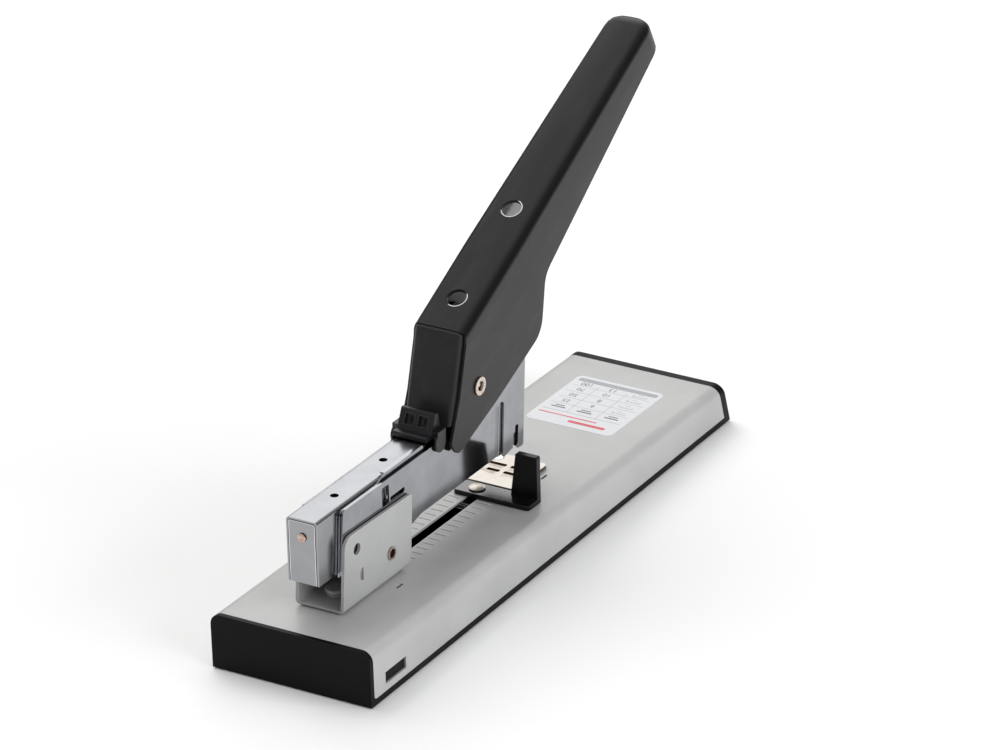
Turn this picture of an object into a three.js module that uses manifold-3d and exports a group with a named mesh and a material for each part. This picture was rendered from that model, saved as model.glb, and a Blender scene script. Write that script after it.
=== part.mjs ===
// Heavy-duty desk stapler: a sheet-steel base with a plastic tray, a tilting head on a bracket,
// a pull-out magazine, and a long channel handle that drives the blade through a cross pin.
// Millimetres. +X runs from the rear end to the front end, +Y across, +Z up.
// The origin is the middle of the base, on the surface that it stands on.

import * as THREE from 'three';
import { mergeVertices } from 'three/addons/utils/BufferGeometryUtils.js';
import Module from 'manifold-3d';

const wasm = await Module();
wasm.setup();

// Driving sizes

const overrun = 30;          // how far a cutting tool runs past what it cuts
const seat = 0.3;            // gap between two pieces that rest on each other
const running = 0.3;         // gap round a pin or slide that moves
const degree = Math.PI / 180;
const half = 0.5;
const quarterTurn = 90;      // in degrees, for turning a finished solid
const weld = 1e-4;           // corners nearer than this are one corner
const steepShare = 0.9;      // a wire steeper than this starts its rings from X, not from Z

const base = {
  length: 308,
  width: 80,
  rearHeight: 26.4,
  frontHeight: 20.6,
  frontRake: 5.6,
  edgeRadius: 5,
  cornerRadius: 1.6,
  sheet: 1.2,
};

const tray = {
  rim: 3.7,
  floor: 2,
  rimWall: 3.2,
  rearCap: 2.4,
  frontCap: 4.4,
  plug: 6,
  plugWall: 2,
  padProud: 0.6,
};

const pad = { length: 14, width: 60, thickness: 1.6, inset: 14, radius: 3 };

const clipWindow = {
  start: 11.4,
  length: 16.4,
  bottom: 6.9,
  height: 5.6,
  bladeWall: 2,
  reveal: 0.7,
};

const slot = { start: 90.6, end: 158, width: 6 };

const slit = { length: 5, width: 1.3, offset: 17.3, rearStart: 57.7, frontStart: 178.5 };

const bracket = {
  start: 23.8,
  topStart: 27,
  end: 78.6,
  topEnd: 80.7,
  footEnd: 75.6,
  toeHeight: 5.5,
  earHeight: 35.2,
  earFrontDrop: 1.2,
  halfWidth: 12.1,
  sheet: 1.5,
  bendRadius: 3,
  cornerRadius: 6,
  smallRadius: 1.5,
  hole: { x: 36.1, height: 26.8, radius: 2.7 },
};

const headPivot = {
  x: 62.6,
  height: 13.3,
  radius: 2.5,
  headRadius: 3,
  headThickness: 0.5,
  recessRadius: 2.1,
  recessDepth: 1.4,
};

const stopTab = { x: 40.6, height: 6.2, reach: 1.3, recess: 1.1 };

const floorRivet = {
  radius: 4.9,
  footRadius: 3.7,
  height: 3.4,
  shankRadius: 2.2,
  rearX: 37,
  frontX: 54,
  edge: 0.6,
};

const liftSpring = { x: 70.8, radius: 3.9, wire: 1.2, curls: 6 };

const anvil = {
  start: 160.8,
  end: 190,
  halfWidth: 14,
  thickness: 1.5,
  cornerRadius: 2,
  grooveX: 173.7,
  grooveStep: 6.2,
  grooveWidth: 2.3,
  grooveDepth: 0.8,
  grooveInner: 1.1,
  grooveOuter: 7.4,
  flareOuter: 12,
  rivetX: 185.5,
  rivetY: 9,
  rivetRadius: 2.6,
  shankRadius: 1.6,
};

const guide = {
  start: 147.6,
  length: 10.6,
  farSide: 9.2,
  nearSide: 29.4,
  thickness: 2.2,
  tabStart: 15.6,
  tabThickness: 3,
  tabHeight: 22.8,
  tabLean: 3,
  tabChamfer: 0.8,
  rivetX: 5.4,
  rivetRadius: 3.75,
  rivetHeight: 0.9,
  shankRadius: 2,
  sliderRear: 8.5,
  sliderFront: 4.4,
  sliderHalfWidth: 6.6,
  sliderThickness: 2,
  ridgeInset: 1.9,
  ridgeLength: 0.6,
  ridgeHeight: 0.8,
  ridgePitch: 1.7,
  ridgeCount: 2,
};

const head = { slope: 0.8 * degree, pivotU: 49.9, pivotW: -5 };

const magazine = {
  length: 160,
  height: 30,
  coverHalf: 7.7,
  sheet: 0.8,
  bendRadius: 1.6,
  rearWall: 1.2,
  flapGroove: 0.35,
  flapGrooveDepth: 0.6,
  topHoleRadius: 1.9,
  topHoles: [26, 65],
  notchStart: 88,
  notchLength: 5,
  notchHalf: 2.5,
  notchBottom: 22.5,
  railHalf: 5.5,
  railHeight: 13.4,
  railSheet: 1,
  railBottom: 0.7,
};

const staple = { crownHalf: 6.5, wire: 0.7, leg: 13, rear: 91 };

const rod = {
  height: 21.6,
  radius: 2.2,
  boreRadius: 1.5,
  boreDepth: 3.6,
  front: 148,
  rivetRadius: 2.1,
  rivetHeight: 0.7,
};

const pusher = { length: 16, halfWidth: 6.5, height: 27 };

const pusherSpring = { radius: 3.1, wire: 0.7, curls: 24 };

const frame = {
  outerHalf: 10.2,
  sheet: 0.8,
  innerHalf: 8.8,
  bottom: -1.4,
  stepStart: 66,
  stepEnd: 78,
  frontBottom: 1.2,
  rearBottom: 13.6,
  rearTop: 16.6,
  topRear: 28.9,
  topLatch: 28.6,
  farTop: 27.5,
  footStart: 103.5,
  earU: 114,
  earW: 45.5,
  earTopU: 119,
  earTopW: 53.2,
  shoulderU: 133,
  noseU: 139,
  top: 58.6,
  hemEnd: 139,
  lugRadius: 5.6,
  webStart: 32,
  innerRear: 14,
  innerTopRear: 28.4,
  innerStepStart: 46,
  innerStepEnd: 52,
  lipStart: 52,
  lipEnd: 83,
  lipWidth: 2.2,
  lipGap: 0.6,
  cornerRadius: 2.5,
  ventStart: 47.2,
  ventLength: 5.6,
  ventBottom: 17.4,
  ventTop: 26.2,
  tabSlotLength: 11.6,
  tabSlotHeight: 2.2,
};

// The nose is the head's front, where the blade slides. Its own axes lean forward.
const nose = {
  u: 165.1,
  w: -2.4,
  lean: 4.7 * degree,
  front: 1.9,
  slotRear: 24,
  slotFront: 19.1,
  slotTop: 26.3,
  mouthTop: 6,
  footRise: 1.6,
  footRadius: 1.3,
  toeDrop: -0.9,
  heelFront: 11.6,
  heelRise: 1.2,
  tipDrop: -0.2,
  innerEnd: 25,
  keyFront: 6.5,
  keyRear: 9.3,
  keyTop: 11.4,
  keyLedge: 10.9,
  keyLedgeTop: 8,
  plateFront: 1.7,
  plateSheet: 1.2,
  plateHalf: 9.1,
  plateRear: 12,
  plateTop: 56,
  flangeRear: 21.6,
  flangeTop: 30,
  flangeNotch: 3,
  flangeTip: 5.5,
};

const driver = {
  stroke: 17,
  bladeRear: 4.2,
  bladeThickness: 0.8,
  bladeHalf: 6.7,
  bladeBottom: 18.6,
  bladeTop: 57,
  carrierHalf: 8,
  carrierRear: 26,
  carrierFront: 4.5,
  carrierBottom: 49.4,
  carrierTop: 59.4,
  pinRear: 21.5,
  pinHeight: 54.4,
  pinRadius: 2,
  pinHalfLength: 11.5,
};

const grip = {
  pivotU: 122.9,
  pivotW: 43.7,
  angle: 25.8 * degree,
  halfWidth: 13.3,
  tipHalf: 11.2,
  sheet: 1.4,
  crownRadius: 4.4,
  topHeight: 30.8,
  rearS: 3.8,
  heelS: 1.2,
  heelT: 24.1,
  waistS: -14.5,
  waistT: 6.9,
  footS: -25.9,
  footT: -10.2,
  footRadius: 4.1,
  lowerS: 7.7,
  lowerT: -18.1,
  bellyS: 49.1,
  bellyT: -20.3,
  bellyRadius: 12,
  neckS: 64.9,
  neckT: 0.6,
  neckRadius: 12,
  endLowS: 188,
  endLowT: 15.2,
  tipS: 194.3,
  taperS: 55,
  planRadius: 10,
  rollRadius: 7,
  tipShares: [0, 0.25, 0.5, 0.72, 0.88, 0.97, 1],
  holeRadius: 4.5,
  holeS: [21, 73.8],
};

const liner = {
  outerHalf: 11.6,
  sheet: 1,
  bendRadius: 2,
  topS: 2.2,
  topT: 30.2,
  bottomS: -24,
  bottomT: 0.9,
  shelfT: 25,
  frontS: 33,
  frontRadius: 6,
  lowerT: -9,
  blankDepth: 90,
  backMargin: 7.5,
  slotInner: 23.6,
  slotOuter: 27.6,
  slotAngle: -5.3 * degree,
  slotHalf: 2.6,
};

const pivotRivet = { shankRadius: 3.2, headRadius: 4.2, headThickness: 0.6, boreRadius: 2.2, boreDepth: 4 };

const returnSpring = { radius: 5.4, wire: 1.2, curls: 6, pitch: 2.1, lever: 3, anchorS: -8.8 };

const latch = {
  pivotU: 93.4,
  pivotW: 28.4,
  earRadius: 4.2,
  earHole: 1.4,
  earHoleEnd: 11.1,
  earInner: 10.5,
  earOuter: 11.5,
  stubRadius: 1.1,
  stubEnd: 10.8,
  lugRadius: 2.2,
  armStart: 91,
  armEnd: 97.6,
  armTop: 34,
  armUnder: 30.9,
  bodyHalf: 8.6,
  rear: 86,
  front: 97.8,
  clear: 0.7,
  skirtTop: 32.8,
  faceLowU: 90.4,
  faceHighU: 94.2,
  top: 41,
  topFrontU: 96.2,
  frontStep: 34,
  pocket: 4.6,
  pocketDepth: 1.2,
  pocketGap: 2.2,
};

// Facets

const arcSteps = 6;
const roundSteps = 28;
const smallRoundSteps = 18;
const coilSteps = 8;
const coilSides = 5;

// Materials

function metal(color, roughness) {
  return new THREE.MeshStandardMaterial({ color, roughness, metalness: 1 });
}

function coating(color, roughness) {
  return new THREE.MeshStandardMaterial({ color, roughness, metalness: 0 });
}

const material = {
  greyPaint: coating(0xb9bab6, 0.45),
  blackPlastic: coating(0x232126, 0.5),
  blackPaint: coating(0x343234, 0.42),
  rubber: coating(0x2b2b2b, 0.9),
  zinc: metal(0xb4b4b8, 0.32),
  nickel: metal(0xd8d2c6, 0.28),
  brass: metal(0xc9b3a0, 0.35),
  steel: metal(0x9a9a9e, 0.35),
};

// Solids: geometry in, geometry out, with the boolean work in between

function solid(geometry) {
  const bare = geometry.clone();
  bare.deleteAttribute('normal');
  bare.deleteAttribute('uv');
  const merged = mergeVertices(bare, weld);
  const mesh = new wasm.Mesh({
    numProp: 3,
    vertProperties: new Float32Array(merged.attributes.position.array),
    triVerts: new Uint32Array(merged.index.array),
  });
  return new wasm.Manifold(mesh);
}

function geometryOf(body) {
  const mesh = body.getMesh();
  const geometry = new THREE.BufferGeometry();
  const corners = new Float32Array(mesh.vertProperties);
  geometry.setAttribute('position', new THREE.BufferAttribute(corners, 3));
  geometry.setIndex(new THREE.BufferAttribute(new Uint32Array(mesh.triVerts), 1));
  geometry.computeVertexNormals();
  return geometry;
}

function join(...bodies) {
  return bodies.reduce((sum, body) => sum.add(body));
}

function cut(body, ...tools) {
  return tools.reduce((rest, tool) => rest.subtract(tool), body);
}

function mirrored(make) {
  return join(make(1), make(-1));
}

// Two limits in rising order, so that a mirrored side can be given as its sign times a distance
function span(from, to) {
  return [Math.min(from, to), Math.max(from, to)];
}

// A closed outline whose corners are rounded. Each corner is [x, y] or [x, y, radius].
function outline(corners) {
  const shape = new THREE.Shape();
  const count = corners.length;
  corners.forEach((corner, index) => {
    const here = new THREE.Vector2(corner[0], corner[1]);
    const before = new THREE.Vector2(...corners[(index + count - 1) % count].slice(0, 2));
    const after = new THREE.Vector2(...corners[(index + 1) % count].slice(0, 2));
    const radius = corner[2] ?? 0;
    const points = radius > 0 ? filletPoints(before, here, after, radius) : [here];
    points.forEach((point, step) => {
      if (index === 0 && step === 0) {
        shape.moveTo(point.x, point.y);
      } else {
        shape.lineTo(point.x, point.y);
      }
    });
  });
  shape.closePath();
  return shape;
}

function filletPoints(before, here, after, radius) {
  const toBefore = before.clone().sub(here).normalize();
  const toAfter = after.clone().sub(here).normalize();
  const halfAngle = Math.acos(THREE.MathUtils.clamp(toBefore.dot(toAfter), -1, 1)) * half;
  const room = Math.min(before.distanceTo(here), after.distanceTo(here)) * half;
  const reach = Math.min(radius / Math.tan(halfAngle), room);
  const fitted = reach * Math.tan(halfAngle);
  const middle = toBefore.clone().add(toAfter).normalize();
  const centre = middle.multiplyScalar(fitted / Math.sin(halfAngle)).add(here);
  const from = here.clone().addScaledVector(toBefore, reach).sub(centre);
  const to = here.clone().addScaledVector(toAfter, reach).sub(centre);
  const turn = Math.atan2(from.x * to.y - from.y * to.x, from.dot(to));
  const points = [];
  for (let step = 0; step <= arcSteps; step += 1) {
    points.push(from.clone().rotateAround(new THREE.Vector2(), turn * step / arcSteps).add(centre));
  }
  return points;
}

function rectangle(x0, x1, y0, y1, radius = 0) {
  return outline([[x0, y0, radius], [x1, y0, radius], [x1, y1, radius], [x0, y1, radius]]);
}

function disc(x, y, radius, steps = roundSteps) {
  const points = [];
  for (let step = 0; step < steps; step += 1) {
    const angle = 2 * Math.PI * step / steps;
    points.push(new THREE.Vector2(x + radius * Math.cos(angle), y + radius * Math.sin(angle)));
  }
  return new THREE.Shape(points);
}

function extrude(shape, depth) {
  return new THREE.ExtrudeGeometry(shape, { depth, bevelEnabled: false, curveSegments: arcSteps });
}

// A side view (x, z) given a width from y0 to y1
function acrossY(shape, y0, y1) {
  return solid(extrude(shape, y1 - y0).rotateX(Math.PI * half).translate(0, y1, 0));
}

// A cross-section (y, z) drawn out from x0 to x1
function alongX(shape, x0, x1) {
  const turn = new THREE.Matrix4().makeBasis(
    new THREE.Vector3(0, 1, 0), new THREE.Vector3(0, 0, 1), new THREE.Vector3(1, 0, 0));
  return solid(extrude(shape, x1 - x0).applyMatrix4(turn).translate(x0, 0, 0));
}

// A plan (x, y) raised from z0 to z1
function upZ(shape, z0, z1) {
  return solid(extrude(shape, z1 - z0).translate(0, 0, z0));
}

function block(x0, x1, y0, y1, z0, z1) {
  return solid(new THREE.BoxGeometry(x1 - x0, y1 - y0, z1 - z0)
    .translate((x0 + x1) * half, (y0 + y1) * half, (z0 + z1) * half));
}

function rodY(x, z, radius, y0, y1, steps = roundSteps) {
  return acrossY(disc(x, z, radius, steps), y0, y1);
}

function rodZ(x, y, radius, z0, z1, steps = roundSteps) {
  return upZ(disc(x, y, radius, steps), z0, z1);
}

function rodX(y, z, radius, x0, x1, steps = roundSteps) {
  return alongX(disc(y, z, radius, steps), x0, x1);
}

// A turned piece about Z from a profile of [radius, height] points, listed either way round
function turned(profile, steps = roundSteps) {
  const points = profile.map(([radius, height]) => new THREE.Vector2(radius, height));
  if (THREE.ShapeUtils.area(points) < 0) {
    points.reverse();
  }
  return solid(new THREE.LatheGeometry(points, steps).rotateX(Math.PI * half));
}

// A channel of bent sheet, open at the top: two walls and a floor with round bends
function channelSection(halfWidth, height, sheet, radius) {
  const inner = Math.max(radius - sheet, 0);
  return outline([
    [-halfWidth, height], [-halfWidth, 0, radius], [halfWidth, 0, radius], [halfWidth, height],
    [halfWidth - sheet, height], [halfWidth - sheet, sheet, inner],
    [sheet - halfWidth, sheet, inner], [sheet - halfWidth, height],
  ]);
}

function hoodSection(halfWidth, top, depth, sheet, radius) {
  const inner = Math.max(radius - sheet, 0);
  return outline([
    [-halfWidth, top - depth], [sheet - halfWidth, top - depth],
    [sheet - halfWidth, top - sheet, inner], [halfWidth - sheet, top - sheet, inner],
    [halfWidth - sheet, top - depth], [halfWidth, top - depth],
    [halfWidth, top, radius], [-halfWidth, top, radius],
  ]);
}

function archSection(halfWidth, top, depth, radius) {
  return outline([
    [-halfWidth, top - depth], [halfWidth, top - depth], [halfWidth, top, radius], [-halfWidth, top, radius],
  ]);
}

// One unbroken round wire along a list of points
function wire(points, radius) {
  const rings = [];
  let normal = null;
  points.forEach((point, index) => {
    const from = points[Math.max(index - 1, 0)];
    const to = points[Math.min(index + 1, points.length - 1)];
    const tangent = to.clone().sub(from).normalize();
    const steep = Math.abs(tangent.z) > steepShare;
    const guess = normal ?? (steep ? new THREE.Vector3(1, 0, 0) : new THREE.Vector3(0, 0, 1));
    normal = guess.clone().addScaledVector(tangent, -guess.dot(tangent)).normalize();
    const side = tangent.clone().cross(normal);
    const ring = [];
    for (let step = 0; step < coilSides; step += 1) {
      const angle = 2 * Math.PI * step / coilSides;
      ring.push(point.clone()
        .addScaledVector(normal, radius * Math.cos(angle))
        .addScaledVector(side, radius * Math.sin(angle)));
    }
    rings.push(ring);
  });
  return skin(rings);
}

// The closed surface over a row of rings that have as many points each
function skin(rings) {
  const size = rings[0].length;
  const positions = rings.flat().flatMap((point) => point.toArray());
  const faces = [];
  for (let row = 0; row + 1 < rings.length; row += 1) {
    for (let column = 0; column < size; column += 1) {
      const next = (column + 1) % size;
      const a = row * size + column;
      const b = row * size + next;
      faces.push(a, b, b + size, a, b + size, a + size);
    }
  }
  const last = (rings.length - 1) * size;
  for (let column = 1; column + 1 < size; column += 1) {
    faces.push(0, column + 1, column, last, last + column, last + column + 1);
  }
  const geometry = new THREE.BufferGeometry();
  geometry.setAttribute('position', new THREE.BufferAttribute(new Float32Array(positions), 3));
  geometry.setIndex(faces);
  return geometry;
}

// The least gap between turns of a wire, measured on its points
function leastGap(points, radius) {
  const apart = coilSteps * half;
  let least = Infinity;
  points.forEach((point, index) => {
    for (let other = index + apart; other < points.length; other += 1) {
      least = Math.min(least, point.distanceTo(points[other]) - 2 * radius);
    }
  });
  return least;
}

function helix(radius, length, curls) {
  const points = [];
  for (let step = 0; step <= curls * coilSteps; step += 1) {
    const angle = 2 * Math.PI * step / coilSteps;
    const share = step / (curls * coilSteps);
    points.push(new THREE.Vector3(radius * Math.cos(angle), radius * Math.sin(angle), length * share));
  }
  return points;
}

function part(name, geometry, finish) {
  const mesh = new THREE.Mesh(geometry, finish);
  mesh.name = name;
  return mesh;
}

function piece(name, body, finish) {
  return part(name, geometryOf(body), finish);
}

// Base

const halfWidth = base.width * half;
const deckSlope = Math.atan((base.rearHeight - base.frontHeight) / base.length);
const undersideZ = tray.padProud;

// The side view of the base between two distances from its ends
function baseSide(bottom, rearInset, frontInset, lift) {
  const rake = (z) => base.frontRake * (z - undersideZ) / (base.frontHeight - undersideZ);
  const frontTop = base.frontHeight + lift;
  return outline([
    [rearInset, bottom, rearInset > 0 ? base.cornerRadius : 0],
    [base.length - frontInset - rake(bottom), bottom],
    [base.length - frontInset - rake(frontTop), frontTop],
    [rearInset, base.rearHeight + lift],
  ]);
}

// A section drawn out along the sloping top of the base
function alongDeck(section) {
  const body = alongX(section, -overrun, base.length + overrun);
  return body.rotate([0, deckSlope / degree, 0]).translate([0, 0, base.rearHeight]);
}

function buildBaseCover() {
  const depth = base.rearHeight + overrun;
  const hood = alongDeck(hoodSection(halfWidth, 0, depth, base.sheet, base.edgeRadius));
  const side = baseSide(tray.rim, tray.rearCap, tray.frontCap, overrun);
  const body = hood.intersect(acrossY(side, -halfWidth, halfWidth));
  const guideSlot = upZ(
    rectangle(slot.start, slot.end, -slot.width * half, slot.width * half, slot.width * half),
    base.frontHeight * half, base.rearHeight + overrun);
  const slits = [slit.rearStart, slit.frontStart].map((start) => upZ(
    rectangle(start, start + slit.length, -slit.offset - slit.width * half, -slit.offset + slit.width * half),
    base.frontHeight * half, base.rearHeight + overrun));
  const shanks = [floorRivet.rearX, floorRivet.frontX].map((x) => deckHole(x, 0, floorRivet.shankRadius));
  const anvilShanks = [1, -1].map((side) => deckHole(anvil.rivetX, side * anvil.rivetY, anvil.shankRadius));
  const windows = mirrored((side) => block(
    clipWindow.start, clipWindow.start + clipWindow.length,
    ...span(side * (halfWidth + overrun), side * (halfWidth - base.sheet - running)),
    clipWindow.bottom, clipWindow.bottom + clipWindow.height));
  return cut(body, guideSlot, ...slits, ...shanks, ...anvilShanks, windows);
}

function deckHole(x, y, radius) {
  return rodZ(x, y, radius + running, -overrun, overrun, smallRoundSteps)
    .rotate([0, deckSlope / degree, 0]).translate([0, 0, base.rearHeight]);
}

function buildTray() {
  const sheetGap = base.sheet + running;
  const innerHalf = halfWidth - sheetGap;
  const depth = base.rearHeight + overrun;
  const full = alongDeck(archSection(halfWidth, 0, depth, base.edgeRadius));
  const envelope = full.intersect(acrossY(baseSide(undersideZ, 0, 0, overrun), -halfWidth, halfWidth));
  const covered = baseSide(tray.rim - seat, tray.rearCap, tray.frontCap, overrun);
  const opening = acrossY(covered, -halfWidth - overrun, halfWidth + overrun);
  const shell = cut(envelope, opening);
  const well = block(
    tray.rearCap + tray.plug, base.length - tray.frontCap - base.frontRake - tray.plug,
    tray.rimWall - halfWidth, halfWidth - tray.rimWall,
    undersideZ + tray.floor, base.rearHeight + overrun);
  const plugBody = alongDeck(hoodSection(
    innerHalf, -sheetGap, depth, tray.plugWall, Math.max(base.edgeRadius - sheetGap, tray.plugWall)));
  const rearPlug = plugBody.intersect(block(
    tray.rearCap * half, tray.rearCap + tray.plug, -halfWidth, halfWidth,
    undersideZ + tray.floor, base.rearHeight));
  const frontPlugEnd = base.length - tray.frontCap - base.frontRake;
  const frontPlug = plugBody.intersect(block(
    frontPlugEnd - tray.plug, frontPlugEnd + tray.frontCap * half, -halfWidth, halfWidth,
    undersideZ + tray.floor, base.rearHeight));
  const clips = mirrored((side) => {
    const start = clipWindow.start + running;
    const end = clipWindow.start + clipWindow.length - running;
    const top = clipWindow.bottom + clipWindow.height - running;
    const inner = side * (innerHalf - clipWindow.bladeWall);
    const face = side * (halfWidth - clipWindow.reveal);
    const catchBlock = block(start, end, ...span(face, inner), clipWindow.bottom + running, top);
    const stem = block(start, end, ...span(side * innerHalf, inner), undersideZ + tray.floor * half, top);
    return join(catchBlock, stem);
  });
  const padHalf = pad.width * half + running;
  const seats = [pad.inset, base.length - pad.inset - pad.length].map((x) => upZ(
    rectangle(x - running, x + pad.length + running, -padHalf, padHalf, pad.radius),
    undersideZ - overrun, pad.thickness));
  return cut(join(cut(shell, well), rearPlug, frontPlug, clips), ...seats);
}

function buildPad(x) {
  const plan = rectangle(x, x + pad.length, -pad.width * half, pad.width * half, pad.radius);
  return upZ(plan, 0, pad.thickness - running);
}

// Bracket, in the deck's own axes: x from the rear end, z above the top of the base

function buildBracket() {
  const side = outline([
    [bracket.start, seat, bracket.smallRadius],
    [bracket.footEnd, seat, bracket.cornerRadius],
    [bracket.end, bracket.toeHeight, bracket.smallRadius],
    [bracket.topEnd, bracket.earHeight - bracket.earFrontDrop, bracket.smallRadius],
    [bracket.topStart, bracket.earHeight, bracket.cornerRadius],
  ]);
  const section = channelSection(
    bracket.halfWidth, bracket.earHeight + overrun, bracket.sheet, bracket.bendRadius);
  const bent = alongX(section, bracket.start - overrun, bracket.topEnd + overrun).translate([0, 0, seat]);
  const blank = bent.intersect(acrossY(side, -bracket.halfWidth, bracket.halfWidth));
  const inner = bracket.halfWidth - bracket.sheet;
  const stops = mirrored((sign) => acrossY(
    halfMoon(), ...span(sign * (inner + bracket.sheet * half), sign * (inner - stopTab.reach))));
  const recesses = mirrored((sign) => acrossY(
    halfMoon(), ...span(sign * (bracket.halfWidth + overrun), sign * (bracket.halfWidth - stopTab.recess))));
  const bores = join(
    rodY(bracket.hole.x, bracket.hole.height, bracket.hole.radius, -overrun, overrun, smallRoundSteps),
    rodY(headPivot.x, headPivot.height, headPivot.radius + running, -overrun, overrun, smallRoundSteps),
  );
  const shanks = [floorRivet.rearX, floorRivet.frontX]
    .map((x) => rodZ(x, 0, floorRivet.shankRadius + running, -overrun, overrun * half, smallRoundSteps));
  return cut(join(blank, stops), recesses, bores, ...shanks);
}

// The half-moon of a pressed-in stop: a half disc with its flat side to the front
function halfMoon() {
  const radius = stopTab.height * half;
  const top = headPivot.height + frame.bottom - head.pivotW - seat;
  const shape = new THREE.Shape();
  shape.moveTo(stopTab.x, top);
  shape.absarc(stopTab.x, top - radius, radius, Math.PI * half, Math.PI + Math.PI * half, false);
  shape.closePath();
  return shape;
}

function buildFloorRivet(x) {
  const top = seat + bracket.sheet + seat;
  const under = -base.sheet - seat;
  return turned([
    [0, top + floorRivet.height],
    [floorRivet.radius - floorRivet.edge, top + floorRivet.height],
    [floorRivet.radius, top + floorRivet.height - floorRivet.edge],
    [floorRivet.footRadius, top],
    [floorRivet.shankRadius, top],
    [floorRivet.shankRadius, under],
    [floorRivet.footRadius, under],
    [floorRivet.footRadius - floorRivet.edge, under - base.sheet],
    [0, under - base.sheet],
  ], smallRoundSteps).translate([x, 0, 0]);
}

function buildHeadPin() {
  const reach = bracket.halfWidth + seat;
  const shank = rodY(headPivot.x, headPivot.height, headPivot.radius, -reach, reach, smallRoundSteps);
  const face = reach + headPivot.headThickness;
  const heads = mirrored((side) => rodY(
    headPivot.x, headPivot.height, headPivot.headRadius, ...span(side * reach, side * face)));
  const recesses = mirrored((side) => rodY(
    headPivot.x, headPivot.height, headPivot.recessRadius,
    ...span(side * (face + overrun), side * (face - headPivot.recessDepth)), smallRoundSteps));
  return cut(join(shank, heads), recesses);
}

function buildLiftSpring() {
  const bottom = seat + bracket.sheet + seat;
  const top = headPivot.height + frame.bottom - head.pivotW - seat - seat;
  const radius = liftSpring.wire * half;
  const points = helix(liftSpring.radius, top - bottom - liftSpring.wire, liftSpring.curls);
  console.log('head lift spring, least gap', leastGap(points, radius).toFixed(2));
  return solid(wire(points, radius)).translate([liftSpring.x, 0, bottom + radius]);
}

// Anvil and paper guide, in the deck's axes

function buildAnvil() {
  const plate = upZ(
    rectangle(anvil.start, anvil.end, -anvil.halfWidth, anvil.halfWidth, anvil.cornerRadius),
    seat, seat + anvil.thickness);
  const top = seat + anvil.thickness;
  const grooves = [];
  [1, -1].forEach((side) => {
    [[0, anvil.grooveOuter], [anvil.grooveStep, anvil.flareOuter]].forEach(([step, outer]) => {
      const x = anvil.grooveX + step;
      const reach = anvil.grooveWidth * half;
      const y = span(side * anvil.grooveInner, side * outer);
      const plan = rectangle(x - reach, x + reach, ...y, reach * half);
      grooves.push(upZ(plan, top - anvil.grooveDepth, top + overrun));
    });
  });
  const bores = [1, -1].map((side) => rodZ(
    anvil.rivetX, side * anvil.rivetY, anvil.rivetRadius + running, -overrun, overrun, smallRoundSteps));
  return cut(plate, ...grooves, ...bores);
}

function buildAnvilRivet(side) {
  const top = seat + anvil.thickness;
  const under = -base.sheet - seat;
  return turned([
    [0, top],
    [anvil.rivetRadius, top],
    [anvil.rivetRadius, seat],
    [anvil.shankRadius, seat],
    [anvil.shankRadius, under],
    [anvil.rivetRadius, under],
    [anvil.rivetRadius, under - base.sheet],
    [0, under - base.sheet],
  ], smallRoundSteps).translate([anvil.rivetX, side * anvil.rivetY, 0]);
}

const guideEnd = guide.start + guide.length;
const guideTop = seat + guide.thickness;

function buildPaperGuide() {
  const plate = upZ(
    outline([
      [guide.start, -guide.nearSide, bracket.smallRadius],
      [guideEnd, -guide.nearSide],
      [guideEnd, guide.farSide, bracket.smallRadius],
      [guide.start, guide.farSide, bracket.smallRadius],
    ]), seat, guideTop);
  const tab = alongX(
    outline([
      [-guide.nearSide, seat],
      [-guide.tabStart, seat],
      [-guide.tabStart - guide.tabLean, guide.tabHeight, guide.tabChamfer],
      [-guide.nearSide, guide.tabHeight, guide.tabChamfer],
    ]), guideEnd - guide.tabThickness, guideEnd);
  const bore = rodZ(
    guide.start + guide.rivetX, 0, guide.shankRadius + running, -overrun, overrun, smallRoundSteps);
  return cut(join(plate, tab), bore);
}

function buildGuideRivet() {
  const under = -base.sheet - seat - guide.sliderThickness - seat;
  return turned([
    [0, guideTop + seat + guide.rivetHeight],
    [guide.rivetRadius * half, guideTop + seat + guide.rivetHeight],
    [guide.rivetRadius, guideTop + seat + guide.rivetHeight * half],
    [guide.rivetRadius, guideTop + seat],
    [guide.shankRadius, guideTop + seat],
    [guide.shankRadius, under],
    [guide.rivetRadius, under],
    [guide.rivetRadius, under - guide.rivetHeight],
    [0, under - guide.rivetHeight],
  ]).translate([guide.start + guide.rivetX, 0, 0]);
}

function buildGuideSlider() {
  const top = -base.sheet - seat;
  const rear = guide.start - guide.sliderRear;
  const front = guideEnd + guide.sliderFront;
  const plate = upZ(
    rectangle(rear, front, -guide.sliderHalfWidth, guide.sliderHalfWidth, bracket.smallRadius),
    top - guide.sliderThickness, top);
  const reach = slot.width * half - running;
  const ridges = [];
  for (let index = 0; index < guide.ridgeCount; index += 1) {
    const x = rear + guide.ridgeInset + index * guide.ridgePitch;
    const foot = top - guide.sliderThickness * half;
    ridges.push(block(x, x + guide.ridgeLength, -reach, reach, foot, top + guide.ridgeHeight));
  }
  const bore = rodZ(
    guide.start + guide.rivetX, 0, guide.shankRadius + running, -overrun, overrun, smallRoundSteps);
  return cut(join(plate, ...ridges), bore);
}

// Head, in its own axes: u forward from the magazine's rear face, w up from the cover's lower edge

function noseToHead(body) {
  return body.rotate([0, nose.lean / degree, 0]).translate([nose.u, 0, nose.w]);
}

function nosePoint(p, q) {
  return [
    nose.u + p * Math.cos(nose.lean) + q * Math.sin(nose.lean),
    nose.w - p * Math.sin(nose.lean) + q * Math.cos(nose.lean),
  ];
}

function pairedPlate(shape, innerFace, outerFace) {
  return mirrored((side) => acrossY(shape, ...span(side * innerFace, side * outerFace)));
}

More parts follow.
